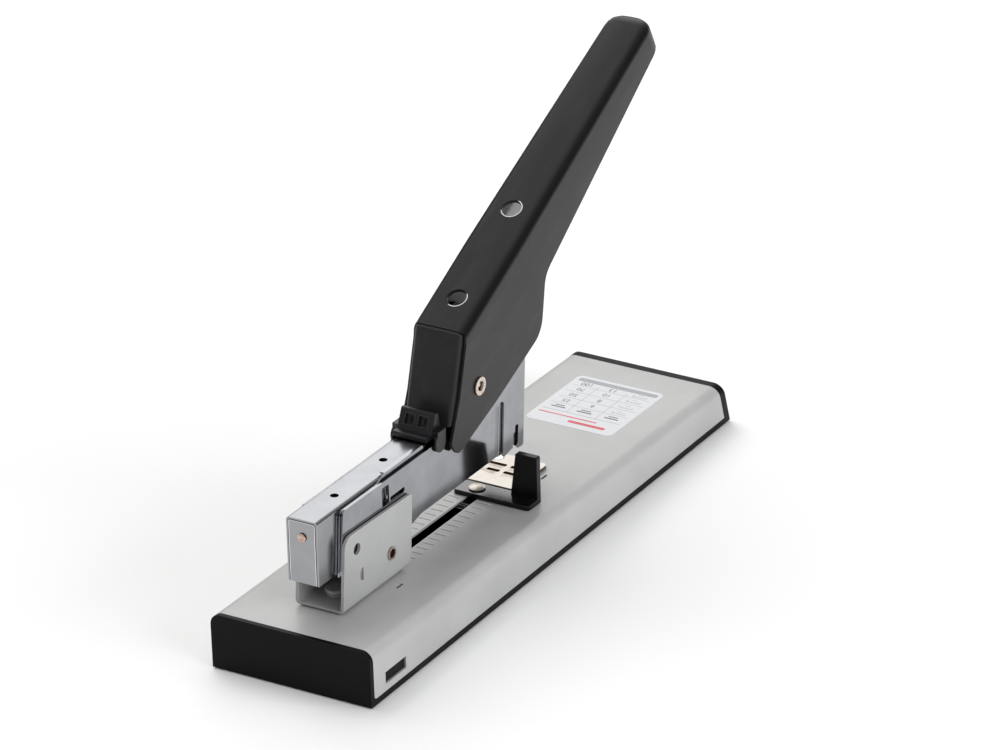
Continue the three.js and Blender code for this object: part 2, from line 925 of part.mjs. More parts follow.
function frameOutline() {
  const brow = nosePoint(-nose.front, (frame.top - nose.w) / Math.cos(nose.lean));
  return outline([
    [frame.rearBottom, frame.bottom, frame.cornerRadius * half],
    [frame.stepStart, frame.bottom],
    [frame.stepEnd, frame.frontBottom],
    [...nosePoint(-nose.slotRear, nose.footRise), nose.footRadius],
    nosePoint(-nose.slotRear, nose.mouthTop),
    nosePoint(-nose.slotFront, nose.mouthTop),
    [...nosePoint(-nose.slotFront, nose.toeDrop), nose.footRadius],
    nosePoint(-nose.heelFront, nose.heelRise),
    nosePoint(-nose.keyFront, nose.tipDrop),
    [...nosePoint(-nose.front, nose.tipDrop), nose.footRadius],
    [...brow, frame.cornerRadius],
    [frame.noseU, frame.top, frame.cornerRadius],
    [frame.shoulderU, frame.earTopW],
    [frame.earTopU, frame.earTopW, frame.lugRadius],
    [frame.earU, frame.earW, frame.lugRadius],
    [frame.footStart, frame.topLatch, frame.cornerRadius],
    [frame.rearTop, frame.topRear, frame.cornerRadius],
  ]);
}

function innerWallOutline() {
  const end = nosePoint(-nose.innerEnd, 0);
  const endTop = nosePoint(-nose.innerEnd, frame.topLatch - nose.w);
  const lip = magazine.height + frame.lipGap + frame.sheet;
  return outline([
    [frame.innerRear, frame.bottom],
    [frame.stepStart, frame.bottom],
    [frame.stepEnd, frame.frontBottom],
    [end[0], frame.frontBottom],
    [endTop[0], frame.topLatch],
    [frame.lipEnd + seat, frame.topLatch],
    [frame.lipEnd, lip, frame.cornerRadius * half],
    [frame.innerStepEnd, lip, frame.cornerRadius * half],
    [frame.innerStepStart, frame.innerTopRear, frame.cornerRadius],
    [frame.rearTop, frame.innerTopRear, frame.cornerRadius],
  ]);
}

// The hem joins each outer plate to its inner wall along their lower edges
function hemOutline() {
  const rear = frame.innerRear + frame.sheet;
  return outline([
    [rear, frame.bottom],
    [frame.stepStart, frame.bottom],
    [frame.stepEnd, frame.frontBottom],
    [frame.hemEnd, frame.frontBottom],
    [frame.hemEnd, frame.frontBottom + frame.sheet],
    [frame.stepEnd, frame.frontBottom + frame.sheet],
    [frame.stepStart, frame.bottom + frame.sheet],
    [rear, frame.bottom + frame.sheet],
  ]);
}

function buildFrame() {
  const inOuterPlates = (shape) => pairedPlate(shape, frame.outerHalf - frame.sheet, frame.outerHalf);
  const outer = inOuterPlates(frameOutline());
  const lug = inOuterPlates(disc(head.pivotU, head.pivotW, frame.lugRadius));
  const lugNeck = inOuterPlates(
    rectangle(head.pivotU - frame.lugRadius, head.pivotU + frame.lugRadius, head.pivotW, 0));
  const inner = pairedPlate(innerWallOutline(), frame.innerHalf - frame.sheet, frame.innerHalf);
  const hem = pairedPlate(hemOutline(), frame.innerHalf - frame.sheet, frame.outerHalf);
  const web = block(
    frame.webStart, frame.stepStart, -frame.innerHalf, frame.innerHalf,
    frame.bottom, frame.bottom + frame.sheet);
  const lipBottom = magazine.height + frame.lipGap;
  const lip = block(
    frame.lipStart, frame.lipEnd - frame.cornerRadius * half,
    frame.sheet * half - frame.innerHalf, frame.lipWidth - frame.innerHalf,
    lipBottom, lipBottom + frame.sheet);
  const farTrim = block(
    -overrun, frame.footStart - frame.cornerRadius, 0, overrun, frame.farTop, magazine.height + overrun);
  const stubs = mirrored((side) => rodY(
    latch.pivotU, latch.pivotW, latch.stubRadius,
    ...span(side * (frame.outerHalf - frame.sheet * half), side * latch.stubEnd), smallRoundSteps));
  const latchLug = inOuterPlates(disc(latch.pivotU, latch.pivotW, latch.lugRadius, smallRoundSteps));
  const plates = join(cut(join(outer, inner, lip), farTrim), latchLug, lug, lugNeck, hem, web, stubs);

  const reach = frame.outerHalf + overrun;
  const outerOnly = (shape) => pairedPlate(shape, frame.innerHalf + seat * half, reach);
  const longSlot = noseCut(
    outline([
      [-nose.slotRear, -overrun], [-nose.slotFront, -overrun],
      [-nose.slotFront, nose.slotTop, nose.slotTop * half],
      [-nose.slotRear, nose.slotTop, nose.slotTop * half],
    ]));
  const keySlot = noseCut(
    outline([
      [-nose.keyLedge, -overrun], [-nose.keyFront, -overrun],
      [-nose.keyFront, nose.keyTop, nose.footRadius], [-nose.keyRear, nose.keyTop, nose.footRadius],
      [-nose.keyRear, nose.keyLedgeTop], [-nose.keyLedge, nose.keyLedgeTop],
    ]));
  const pinHalf = driver.pinRadius + running;
  const pinSlot = noseCut(
    rectangle(
      -driver.pinRear - pinHalf, -driver.pinRear + pinHalf,
      driver.pinHeight - driver.stroke - pinHalf, driver.pinHeight + pinHalf, pinHalf));
  const throughWalls = (shape) => pairedPlate(shape, magazine.coverHalf, reach);
  const vent = throughWalls(rectangle(
    frame.ventStart, frame.ventStart + frame.ventLength, frame.ventBottom, frame.ventTop, frame.sheet));
  const tabSlotStart = frame.ventStart + frame.ventLength + frame.sheet;
  const tabSlot = outerOnly(rectangle(
    tabSlotStart, tabSlotStart + frame.tabSlotLength,
    frame.ventBottom, frame.ventBottom + frame.tabSlotHeight, frame.sheet));
  const bores = join(
    rodY(head.pivotU, head.pivotW, headPivot.radius + running, -reach, reach, smallRoundSteps),
    rodY(grip.pivotU, grip.pivotW, pivotRivet.shankRadius + running, -reach, reach, smallRoundSteps),
  );
  return cut(plates, longSlot, keySlot, pinSlot, vent, tabSlot, bores);
}

// A cut through the two outer plates, drawn in the nose's leaning axes
function noseCut(shape) {
  const reach = frame.outerHalf + overrun;
  return noseToHead(pairedPlate(shape, frame.innerHalf + seat * half, reach));
}

function buildFrontPlate() {
  const section = outline([
    [-nose.flangeRear, -nose.plateHalf], [-nose.plateFront, -nose.plateHalf, nose.plateSheet + seat],
    [-nose.plateFront, nose.plateHalf, nose.plateSheet + seat], [-nose.flangeRear, nose.plateHalf],
    [-nose.flangeRear, nose.plateHalf - frame.sheet],
    [-nose.plateFront - nose.plateSheet, nose.plateHalf - frame.sheet, seat],
    [-nose.plateFront - nose.plateSheet, frame.sheet - nose.plateHalf, seat],
    [-nose.flangeRear, frame.sheet - nose.plateHalf],
  ]);
  const folded = upZ(section, nose.toeDrop, nose.plateTop);
  const side = outline([
    [-nose.plateFront, nose.tipDrop],
    [-nose.flangeTip, nose.tipDrop],
    [-nose.keyLedge, nose.flangeNotch],
    [-nose.heelFront, nose.footRise],
    [-nose.flangeRear, -nose.tipDrop],
    [-nose.flangeRear, nose.flangeTop],
    [-nose.plateRear, nose.flangeTop],
    [-nose.plateRear, nose.plateTop],
    [-nose.plateFront, nose.plateTop],
  ]);
  return noseToHead(folded.intersect(acrossY(side, -nose.plateHalf, nose.plateHalf)));
}

// Magazine

// The magazine's front ends lean with the nose, just behind the blade
function behindBlade(clearance) {
  const front = -driver.bladeRear - clearance;
  const rear = front - magazine.length - overrun;
  return noseToHead(block(rear, front, -overrun, overrun, -overrun, magazine.height + overrun));
}

function buildMagazineCover() {
  const { coverHalf, height, sheet, bendRadius, rearWall } = magazine;
  const hood = alongX(
    hoodSection(coverHalf, height, height, sheet, bendRadius), 0, magazine.length + overrun);
  const rear = alongX(archSection(coverHalf, height, height, bendRadius), 0, rearWall);
  const shell = join(hood, rear).intersect(behindBlade(running + running));
  const holes = magazine.topHoles.map((u) => rodZ(
    u, 0, magazine.topHoleRadius, magazine.height * half, magazine.height + overrun, smallRoundSteps));
  const notch = block(
    magazine.notchStart, magazine.notchStart + magazine.notchLength, -magazine.notchHalf, magazine.notchHalf,
    magazine.notchBottom, magazine.height + overrun);
  const rivetBore = rodX(0, rod.height, rod.boreRadius, -overrun, magazine.rearWall + seat, smallRoundSteps);
  const flapEdge = alongX(
    archSection(coverHalf - sheet, height - sheet, height + overrun, bendRadius - sheet),
    -overrun, magazine.flapGrooveDepth);
  const inset = sheet + magazine.flapGroove;
  const flap = alongX(
    archSection(coverHalf - inset, height - inset, height + overrun, magazine.flapGroove),
    -overrun - overrun, overrun);
  return cut(shell, cut(flapEdge, flap), ...holes, notch, rivetBore);
}

function buildRail() {
  const section = hoodSection(
    magazine.railHalf, magazine.railHeight, magazine.railHeight - magazine.railBottom, magazine.railSheet,
    magazine.railSheet);
  const rail = alongX(section, magazine.rearWall + seat, magazine.length + overrun);
  return rail.intersect(behindBlade(running));
}

function buildStapleStrip() {
  const top = magazine.railHeight + seat + staple.wire;
  const section = hoodSection(staple.crownHalf, top, staple.leg, staple.wire, staple.wire);
  return alongX(section, staple.rear, magazine.length + overrun).intersect(behindBlade(running));
}

function buildGuideRod() {
  const start = magazine.rearWall + seat;
  return turned([
    [rod.boreRadius + seat, 0],
    [rod.radius, 0],
    [rod.radius, rod.front - start],
    [0, rod.front - start],
    [0, rod.boreDepth],
    [rod.boreRadius + seat, rod.boreDepth],
    [rod.boreRadius + seat, 0],
  ], smallRoundSteps).rotate([0, quarterTurn, 0]).translate([start, 0, rod.height]);
}

function buildRodRivet() {
  const reach = magazine.rearWall + seat + rod.boreDepth - seat;
  const shank = rodX(0, rod.height, rod.boreRadius - seat * half, -seat, reach, smallRoundSteps);
  const headDisc = turned([
    [0, 0],
    [rod.rivetRadius, 0],
    [rod.rivetRadius, rod.rivetHeight * half],
    [rod.rivetRadius * half, rod.rivetHeight],
    [0, rod.rivetHeight],
  ]).rotate([0, -quarterTurn, 0]).translate([-seat, 0, rod.height]);
  return join(shank, headDisc);
}

const pusherRear = staple.rear - seat - pusher.length;

function buildPusher() {
  const section = archSection(
    pusher.halfWidth, pusher.height, pusher.height - magazine.railBottom, magazine.bendRadius);
  const body = alongX(section, pusherRear, pusherRear + pusher.length);
  const channel = block(
    pusherRear - overrun, pusherRear + pusher.length + overrun,
    -magazine.railHalf - seat, magazine.railHalf + seat, -overrun, magazine.railHeight + seat);
  const bore = rodX(
    0, rod.height, rod.radius + running,
    pusherRear - overrun, pusherRear + pusher.length + overrun, smallRoundSteps);
  return cut(body, channel, bore);
}

function buildPusherSpring() {
  const radius = pusherSpring.wire * half;
  const start = magazine.rearWall + seat + radius;
  const length = pusherRear - seat - radius - start;
  const points = helix(pusherSpring.radius, length, pusherSpring.curls);
  console.log('pusher spring, least gap', leastGap(points, radius).toFixed(2));
  return solid(wire(points, radius)).rotate([0, quarterTurn, 0]).translate([start, 0, rod.height]);
}

// Latch

function buildLatch() {
  const bottom = magazine.height + latch.clear;
  const profile = outline([
    [latch.rear, bottom],
    [latch.front, bottom],
    [latch.front, latch.frontStep, frame.sheet],
    [latch.topFrontU, latch.top, frame.sheet],
    [latch.faceHighU, latch.top, frame.sheet],
    [latch.faceLowU, latch.skirtTop],
    [latch.rear, latch.skirtTop, frame.sheet],
  ]);
  const body = acrossY(profile, -latch.bodyHalf, latch.bodyHalf);
  const arms = mirrored((side) => {
    const shoulder = span(side * (latch.bodyHalf - latch.pocketDepth), side * latch.earOuter);
    const ear = span(side * latch.earInner, side * latch.earOuter);
    return join(
      block(latch.armStart, latch.armEnd, ...shoulder, latch.armUnder, latch.armTop),
      block(latch.armStart, latch.armEnd, ...ear, latch.pivotW, latch.armTop),
      rodY(latch.pivotU, latch.pivotW, latch.earRadius, ...ear));
  });
  const rise = latch.top - latch.skirtTop;
  const run = latch.faceHighU - latch.faceLowU;
  const tilt = Math.atan2(run, rise);
  const middle = [(latch.faceLowU + latch.faceHighU) * half, (latch.skirtTop + latch.top) * half];
  const pockets = mirrored((side) => {
    const y = side * (latch.pocket + latch.pocketGap) * half;
    return block(
      -overrun, latch.pocketDepth, y - latch.pocket * half, y + latch.pocket * half,
      -latch.pocket * half, latch.pocket * half,
    ).rotate([0, tilt / degree, 0]).translate([middle[0], 0, middle[1]]);
  });
  const holes = rodY(
    latch.pivotU, latch.pivotW, latch.earHole, -latch.earHoleEnd, latch.earHoleEnd, smallRoundSteps);
  return cut(join(body, arms), pockets, holes);
}

// Handle, in its own axes: s forward along the grip from the pivot, t square to its top

function gripHalf(s) {
  const straight = grip.tipS - grip.planRadius;
  const share = THREE.MathUtils.clamp((s - grip.taperS) / (straight - grip.taperS), 0, 1);
  const wide = THREE.MathUtils.lerp(grip.halfWidth, grip.tipHalf, share);
  if (s <= straight) {
    return wide;
  }
  const round = Math.min((s - straight) / grip.planRadius, 1);
  return wide - grip.planRadius + grip.planRadius * Math.sqrt(1 - round * round);
}

function gripTop(s) {
  const straight = grip.tipS - grip.rollRadius;
  if (s <= straight) {
    return grip.topHeight;
  }
  const round = Math.min((s - straight) / grip.rollRadius, 1);
  return grip.topHeight - grip.rollRadius + grip.rollRadius * Math.sqrt(1 - round * round);
}

// The grip as a solid bar, drawn in by an inset on every side
function gripBar(inset, rearS) {
  const tipStations = grip.tipShares.map((share) => grip.tipS - grip.planRadius * (1 - share));
  const stations = [rearS, grip.taperS, ...tipStations];
  const bottom = grip.footT - grip.footRadius - grip.topHeight;
  const rings = stations.map((s) => {
    const wide = gripHalf(s) - inset;
    const top = gripTop(s) - inset;
    const radius = Math.max(Math.min(grip.crownRadius - inset, wide), inset);
    const place = s < grip.tipS - grip.planRadius ? s : s - inset;
    const ring = [new THREE.Vector3(place, -wide, bottom), new THREE.Vector3(place, wide, bottom)];
    [[1, 0], [-1, Math.PI * half]].forEach(([side, start]) => {
      for (let step = 0; step <= arcSteps; step += 1) {
        const angle = start + Math.PI * half * step / arcSteps;
        const y = side * (wide - radius) + radius * Math.cos(angle);
        ring.push(new THREE.Vector3(place, y, top - radius + radius * Math.sin(angle)));
      }
    });
    return ring;
  });
  return solid(skin(rings));
}

function gripOutline() {
  return outline([
    [grip.rearS, grip.topHeight + overrun],
    [grip.rearS, grip.topHeight - grip.sheet - grip.sheet],
    [grip.heelS, grip.heelT, grip.sheet],
    [grip.waistS, grip.waistT, overrun],
    [grip.footS - grip.footRadius, grip.footT + grip.footRadius, grip.footRadius],
    [grip.footS - grip.footRadius * half, grip.footT - grip.footRadius, grip.footRadius],
    [grip.lowerS, grip.lowerT, overrun],
    [grip.bellyS, grip.bellyT, grip.bellyRadius],
    [grip.neckS, grip.neckT, grip.neckRadius],
    [grip.endLowS, grip.endLowT, grip.rollRadius],
    [grip.tipS + overrun, grip.endLowT],
    [grip.tipS + overrun, grip.topHeight + overrun],
  ]);
}

function buildHandleShell() {
  const rear = grip.footS - overrun;
  const shell = cut(gripBar(0, rear), gripBar(grip.sheet, rear - overrun));
  const blank = shell.intersect(acrossY(gripOutline(), -grip.halfWidth - overrun, grip.halfWidth + overrun));
  const holes = grip.holeS.map((s) => rodZ(
    s, 0, grip.holeRadius, grip.topHeight * half, grip.topHeight + overrun));
  const reach = grip.halfWidth + overrun;
  const bore = rodY(0, 0, pivotRivet.shankRadius + running, -reach, reach);
  return cut(blank, ...holes, bore);
}

function buildHandleLiner() {
  const run = liner.topS - liner.bottomS;
  const rise = liner.topT - liner.bottomT;
  const length = Math.hypot(run, rise);
  const slant = Math.atan2(run, rise);
  const innerHalf = liner.outerHalf - liner.sheet;
  const section = outline([
    [0, -liner.outerHalf, liner.bendRadius], [liner.blankDepth, -liner.outerHalf],
    [liner.blankDepth, -innerHalf], [liner.sheet, -innerHalf, liner.sheet],
    [liner.sheet, innerHalf, liner.sheet], [liner.blankDepth, innerHalf],
    [liner.blankDepth, liner.outerHalf], [0, liner.outerHalf, liner.bendRadius],
  ]);
  const bent = upZ(section, -overrun - overrun, length + overrun)
    .rotate([0, slant / degree, 0]).translate([liner.bottomS, 0, liner.bottomT]);
  const crown = gripBar(seat, liner.bottomS - overrun);
  const side = outline([
    [liner.bottomS - liner.backMargin, liner.bottomT],
    [liner.bottomS + liner.bendRadius + liner.bendRadius, liner.bottomT - liner.bendRadius, liner.bendRadius],
    [-pivotRivet.headRadius - liner.frontRadius, liner.lowerT, liner.frontRadius],
    [liner.frontS, liner.lowerT, liner.frontRadius],
    [liner.frontS, liner.shelfT * half, liner.frontRadius],
    [grip.rearS + liner.frontRadius, liner.shelfT],
    [grip.rearS - seat, liner.shelfT],
    [grip.rearS - seat, grip.topHeight],
    [liner.topS - liner.backMargin, grip.topHeight],
  ]);
  const blank = bent.intersect(crown).intersect(acrossY(side, -liner.outerHalf, liner.outerHalf));
  const reach = liner.outerHalf + overrun;
  const slotCut = acrossY(
    rectangle(
      liner.slotInner - driver.pinRadius, liner.slotOuter + driver.pinRadius, -liner.slotHalf, liner.slotHalf,
      liner.slotHalf), -reach, reach).rotate([0, -liner.slotAngle / degree, 0]);
  const bore = rodY(0, 0, pivotRivet.shankRadius + running, -reach, reach, smallRoundSteps);
  return cut(blank, slotCut, bore);
}

function buildPivotRivet() {
  const reach = grip.halfWidth + seat;
  const shank = rodY(0, 0, pivotRivet.shankRadius, -reach, reach);
  const face = reach + pivotRivet.headThickness;
  const heads = mirrored((side) => rodY(0, 0, pivotRivet.headRadius, ...span(side * reach, side * face)));
  const bores = mirrored((side) => rodY(
    0, 0, pivotRivet.boreRadius,
    ...span(side * (face + overrun), side * (face - pivotRivet.boreDepth)), smallRoundSteps));
  return cut(join(shank, heads), bores);
}

// Driver, in the nose's leaning axes

function buildDriverBlade() {
  return noseToHead(block(
    -driver.bladeRear, -driver.bladeRear + driver.bladeThickness, -driver.bladeHalf, driver.bladeHalf,
    driver.bladeBottom, driver.bladeTop));
}

function buildDriverCarrier() {
  const body = acrossY(
    outline([
      [-driver.carrierRear, driver.carrierBottom, driver.pinRadius],
      [-driver.carrierFront, driver.carrierBottom],
      [-driver.carrierFront, driver.carrierTop],
      [-driver.carrierRear, driver.carrierTop, driver.pinRadius],
    ]), -driver.carrierHalf, driver.carrierHalf);
  const bore = rodY(
    -driver.pinRear, driver.pinHeight, driver.pinRadius + running, -overrun, overrun, smallRoundSteps);
  return noseToHead(cut(body, bore));
}

function buildDrivePin() {
  const length = [-driver.pinHalfLength, driver.pinHalfLength];
  return noseToHead(rodY(-driver.pinRear, driver.pinHeight, driver.pinRadius, ...length, smallRoundSteps));
}

// The handle's return spring, a torsion coil round the rivet: one leg lies under the drive pin's
// carrier, the other rests on the inner wall of the frame. Its axes are those of the head.
function buildReturnSpring() {
  const radius = returnSpring.wire * half;
  const points = [];
  const coilHalf = returnSpring.curls * returnSpring.pitch * half;
  const wallTop = frame.topLatch + seat + radius;
  const wallY = (magazine.coverHalf + frame.outerHalf - frame.sheet) * half;
  points.push(new THREE.Vector3(grip.pivotU + returnSpring.anchorS, wallY, wallTop));
  const total = returnSpring.curls * coilSteps + coilSteps * half * half;
  for (let step = 0; step <= total; step += 1) {
    const angle = Math.PI - 2 * Math.PI * step / coilSteps;
    points.push(new THREE.Vector3(
      grip.pivotU + returnSpring.radius * Math.cos(angle),
      coilHalf - returnSpring.pitch * step / coilSteps,
      grip.pivotW + returnSpring.radius * Math.sin(angle)));
  }
  console.log('handle return spring, least gap', leastGap(points.slice(1), radius).toFixed(2));
  const last = points[points.length - 1];
  const carrier = nosePoint(-driver.carrierRear, driver.carrierBottom);
  points.push(new THREE.Vector3(carrier[0] + returnSpring.lever, last.y, carrier[1] - radius - seat - seat));
  return solid(wire(points, radius));
}

// Assembly

function group(...children) {
  const result = new THREE.Group();
  result.add(...children);
  return result;
}

const deck = group(
  piece('pivot_bracket', buildBracket(), material.greyPaint),
  piece('bracket_rivet_rear', buildFloorRivet(floorRivet.rearX), material.greyPaint),
  piece('bracket_rivet_front', buildFloorRivet(floorRivet.frontX), material.greyPaint),
  piece('head_pivot_pin', buildHeadPin(), material.brass),
  piece('head_lift_spring', buildLiftSpring(), material.steel),
  piece('anvil_plate', buildAnvil(), material.nickel),
  piece('anvil_rivet_left', buildAnvilRivet(1), material.nickel),
  piece('anvil_rivet_right', buildAnvilRivet(-1), material.nickel),
  piece('paper_guide', buildPaperGuide(), material.blackPlastic),
  piece('guide_rivet', buildGuideRivet(), material.nickel),
  piece('guide_slider', buildGuideSlider(), material.zinc),
);
deck.rotation.y = deckSlope;
deck.position.z = base.rearHeight;

const handle = group(
  piece('handle_shell', buildHandleShell(), material.blackPaint),
  piece('handle_liner', buildHandleLiner(), material.blackPaint),
  piece('handle_pivot_rivet', buildPivotRivet(), material.brass),
);
handle.rotation.y = -grip.angle - head.slope;
handle.position.set(grip.pivotU, 0, grip.pivotW);

const headGroup = group(
  piece('head_frame', buildFrame(), material.zinc),
  piece('front_plate', buildFrontPlate(), material.zinc),
  piece('handle_return_spring', buildReturnSpring(), material.steel),
  piece('magazine_cover', buildMagazineCover(), material.zinc),
  piece('magazine_rail', buildRail(), material.zinc),
  piece('staple_strip', buildStapleStrip(), material.steel),
  piece('guide_rod', buildGuideRod(), material.steel),
  piece('rod_rivet', buildRodRivet(), material.brass),
  piece('staple_pusher', buildPusher(), material.steel),
  piece('pusher_spring', buildPusherSpring(), material.steel),
  piece('latch_button', buildLatch(), material.blackPlastic),
  piece('driver_blade', buildDriverBlade(), material.steel),
  piece('driver_carrier', buildDriverCarrier(), material.zinc),
  piece('drive_pin', buildDrivePin(), material.steel),
  handle,
);
headGroup.position.set(-head.pivotU, 0, -head.pivotW);

const headJoint = group(headGroup);
headJoint.rotation.y = head.slope;
headJoint.position.set(
  headPivot.x * Math.cos(deckSlope) + headPivot.height * Math.sin(deckSlope),
  0,
  base.rearHeight - headPivot.x * Math.sin(deckSlope) + headPivot.height * Math.cos(deckSlope));

const stapler = group(
  piece('base_cover', buildBaseCover(), material.greyPaint),
  piece('base_tray', buildTray(), material.blackPlastic),
  piece('rear_pad', buildPad(pad.inset), material.rubber),
  piece('front_pad', buildPad(base.length - pad.inset - pad.length), material.rubber),
  deck,
  headJoint,
);
stapler.position.x = -base.length * half;

export default stapler;
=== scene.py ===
"""Looks of the heavy-duty desk stapler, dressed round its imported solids."""

import logging
import math
from abc import ABC, abstractmethod
from dataclasses import dataclass
from enum import Enum
from functools import lru_cache

import bmesh
import bpy
import numpy as np
from mathutils import Matrix, Vector


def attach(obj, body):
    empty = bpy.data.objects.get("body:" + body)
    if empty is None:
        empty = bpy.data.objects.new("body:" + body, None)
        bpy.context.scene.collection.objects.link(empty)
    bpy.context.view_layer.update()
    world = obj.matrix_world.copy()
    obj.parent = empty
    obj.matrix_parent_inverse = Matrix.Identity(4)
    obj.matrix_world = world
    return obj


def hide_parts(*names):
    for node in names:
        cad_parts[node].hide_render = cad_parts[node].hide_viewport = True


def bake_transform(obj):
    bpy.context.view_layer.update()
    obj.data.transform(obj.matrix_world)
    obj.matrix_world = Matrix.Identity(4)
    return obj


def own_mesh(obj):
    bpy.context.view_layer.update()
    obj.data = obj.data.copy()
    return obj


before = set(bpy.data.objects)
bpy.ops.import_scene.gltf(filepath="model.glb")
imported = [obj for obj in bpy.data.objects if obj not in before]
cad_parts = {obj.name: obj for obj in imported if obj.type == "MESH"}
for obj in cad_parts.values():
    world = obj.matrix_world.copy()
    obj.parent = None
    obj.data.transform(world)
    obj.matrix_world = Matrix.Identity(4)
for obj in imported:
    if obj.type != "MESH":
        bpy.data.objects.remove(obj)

log = logging.getLogger("stapler")

MM = 0.001
WELD = 2e-5
FLAT_ANGLE = 0.6
SHARP_ANGLE = 38.0
SIDES = ((-1, "near"), (1, "far"))
ONCE = np.zeros((1, 3))
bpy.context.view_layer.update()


# Places: the row frame, and the leaning frames that the sub-assemblies are drawn in


@dataclass(frozen=True)
class Place:
    """A frame turned about Y: a runs forward, c up, both in millimetres from its origin."""

    x: float
    z: float
    turn: float

    def at(self, a: float, y: float, c: float) -> Vector:
        """The point (a, y, c) of this frame in the row frame, in metres."""
        cos, sin = math.cos(math.radians(self.turn)), math.sin(math.radians(self.turn))
        return Vector((self.x + a * cos + c * sin, y, self.z - a * sin + c * cos)) * MM

    def matrix(self) -> Matrix:
        """This frame as a matrix from its own metres to the row frame's metres."""
        turned = Matrix.Rotation(math.radians(self.turn), 4, "Y")
        return Matrix.Translation(self.at(0, 0, 0)) @ turned

    def points(self, local: np.ndarray) -> np.ndarray:
        """Moves an (n, 3) array of this frame's millimetres into the row frame's metres.

        Args:
            local: points as rows of a, y, c.

        Returns:
            The same points in metres in the row frame.
        """
        matrix = np.array(self.matrix())
        return local * MM @ matrix[:3, :3].T + matrix[:3, 3]


def nested(outer: Place, a: float, c: float, turn: float) -> Place:
    """A frame whose origin is at (a, c) of another one and that leans further by turn degrees."""
    point = outer.at(a, 0, c) / MM
    return Place(point.x, point.z, outer.turn + turn)


ROW = Place(0.0, 0.0, 0.0)
DECK = Place(-154.0, 26.4, 1.0788)
HINGE = Place(-91.161, 38.519, 0.8)
HEAD = nested(HINGE, -49.9, 5.0, 0.0)
NOSE = nested(HEAD, 165.1, -2.4, 4.7)
GRIP = Place(-17.488, 86.195, -25.8)


# Shader arithmetic


Value = "Signal | float"


class Signal:
    """A number that comes out of a shader socket, on which Python's own operators work."""

    def __init__(self, web: "Web", socket: bpy.types.NodeSocket) -> None:
        """Wraps a socket of a web."""
        self.web = web
        self.socket = socket

    def _math(self, operation: str, *inputs: Value) -> "Signal":
        """One Math node on these inputs."""
        return Signal(self.web, self.web.node("ShaderNodeMath", {"operation": operation}, *inputs)[0])

    def __add__(self, other: Value) -> "Signal":
        """Self plus other."""
        return self._math("ADD", self, other)

    __radd__ = __add__

    def __mul__(self, other: Value) -> "Signal":
        """Self times other."""
        return self._math("MULTIPLY", self, other)

    __rmul__ = __mul__

    def __sub__(self, other: Value) -> "Signal":
        """Self less other."""
        return self._math("SUBTRACT", self, other)

    def __rsub__(self, other: Value) -> "Signal":
        """Other less self."""
        return self._math("SUBTRACT", other, self)

    def __truediv__(self, other: Value) -> "Signal":
        """Self over other."""
        return self._math("DIVIDE", self, other)

    def __pow__(self, other: Value) -> "Signal":
        """Self to a power."""
        return self._math("POWER", self, other)

    def __abs__(self) -> "Signal":
        """The size of self."""
        return self._math("ABSOLUTE", self)

    def sine(self) -> "Signal":
        """The sine of self in radians."""
        return self._math("SINE", self)

    def most(self, other: Value) -> "Signal":
        """The larger of two."""
        return self._math("MAXIMUM", self, other)

    def rise(self, low: float, high: float) -> "Signal":
        """A smooth step from 0 at low to 1 at high."""
        settings = {"interpolation_type": "SMOOTHSTEP"}
        return Signal(self.web, self.web.node("ShaderNodeMapRange", settings, self, low, high, 0.0, 1.0)[0])

    def within(self, low: float, high: float, edge: float) -> "Signal":
        """A mask that is 1 between two limits and fades over an edge."""
        return self.rise(low - edge, low + edge) * (1 - self.rise(high - edge, high + edge))


Triple = tuple[float, float, float]
Colour = Triple


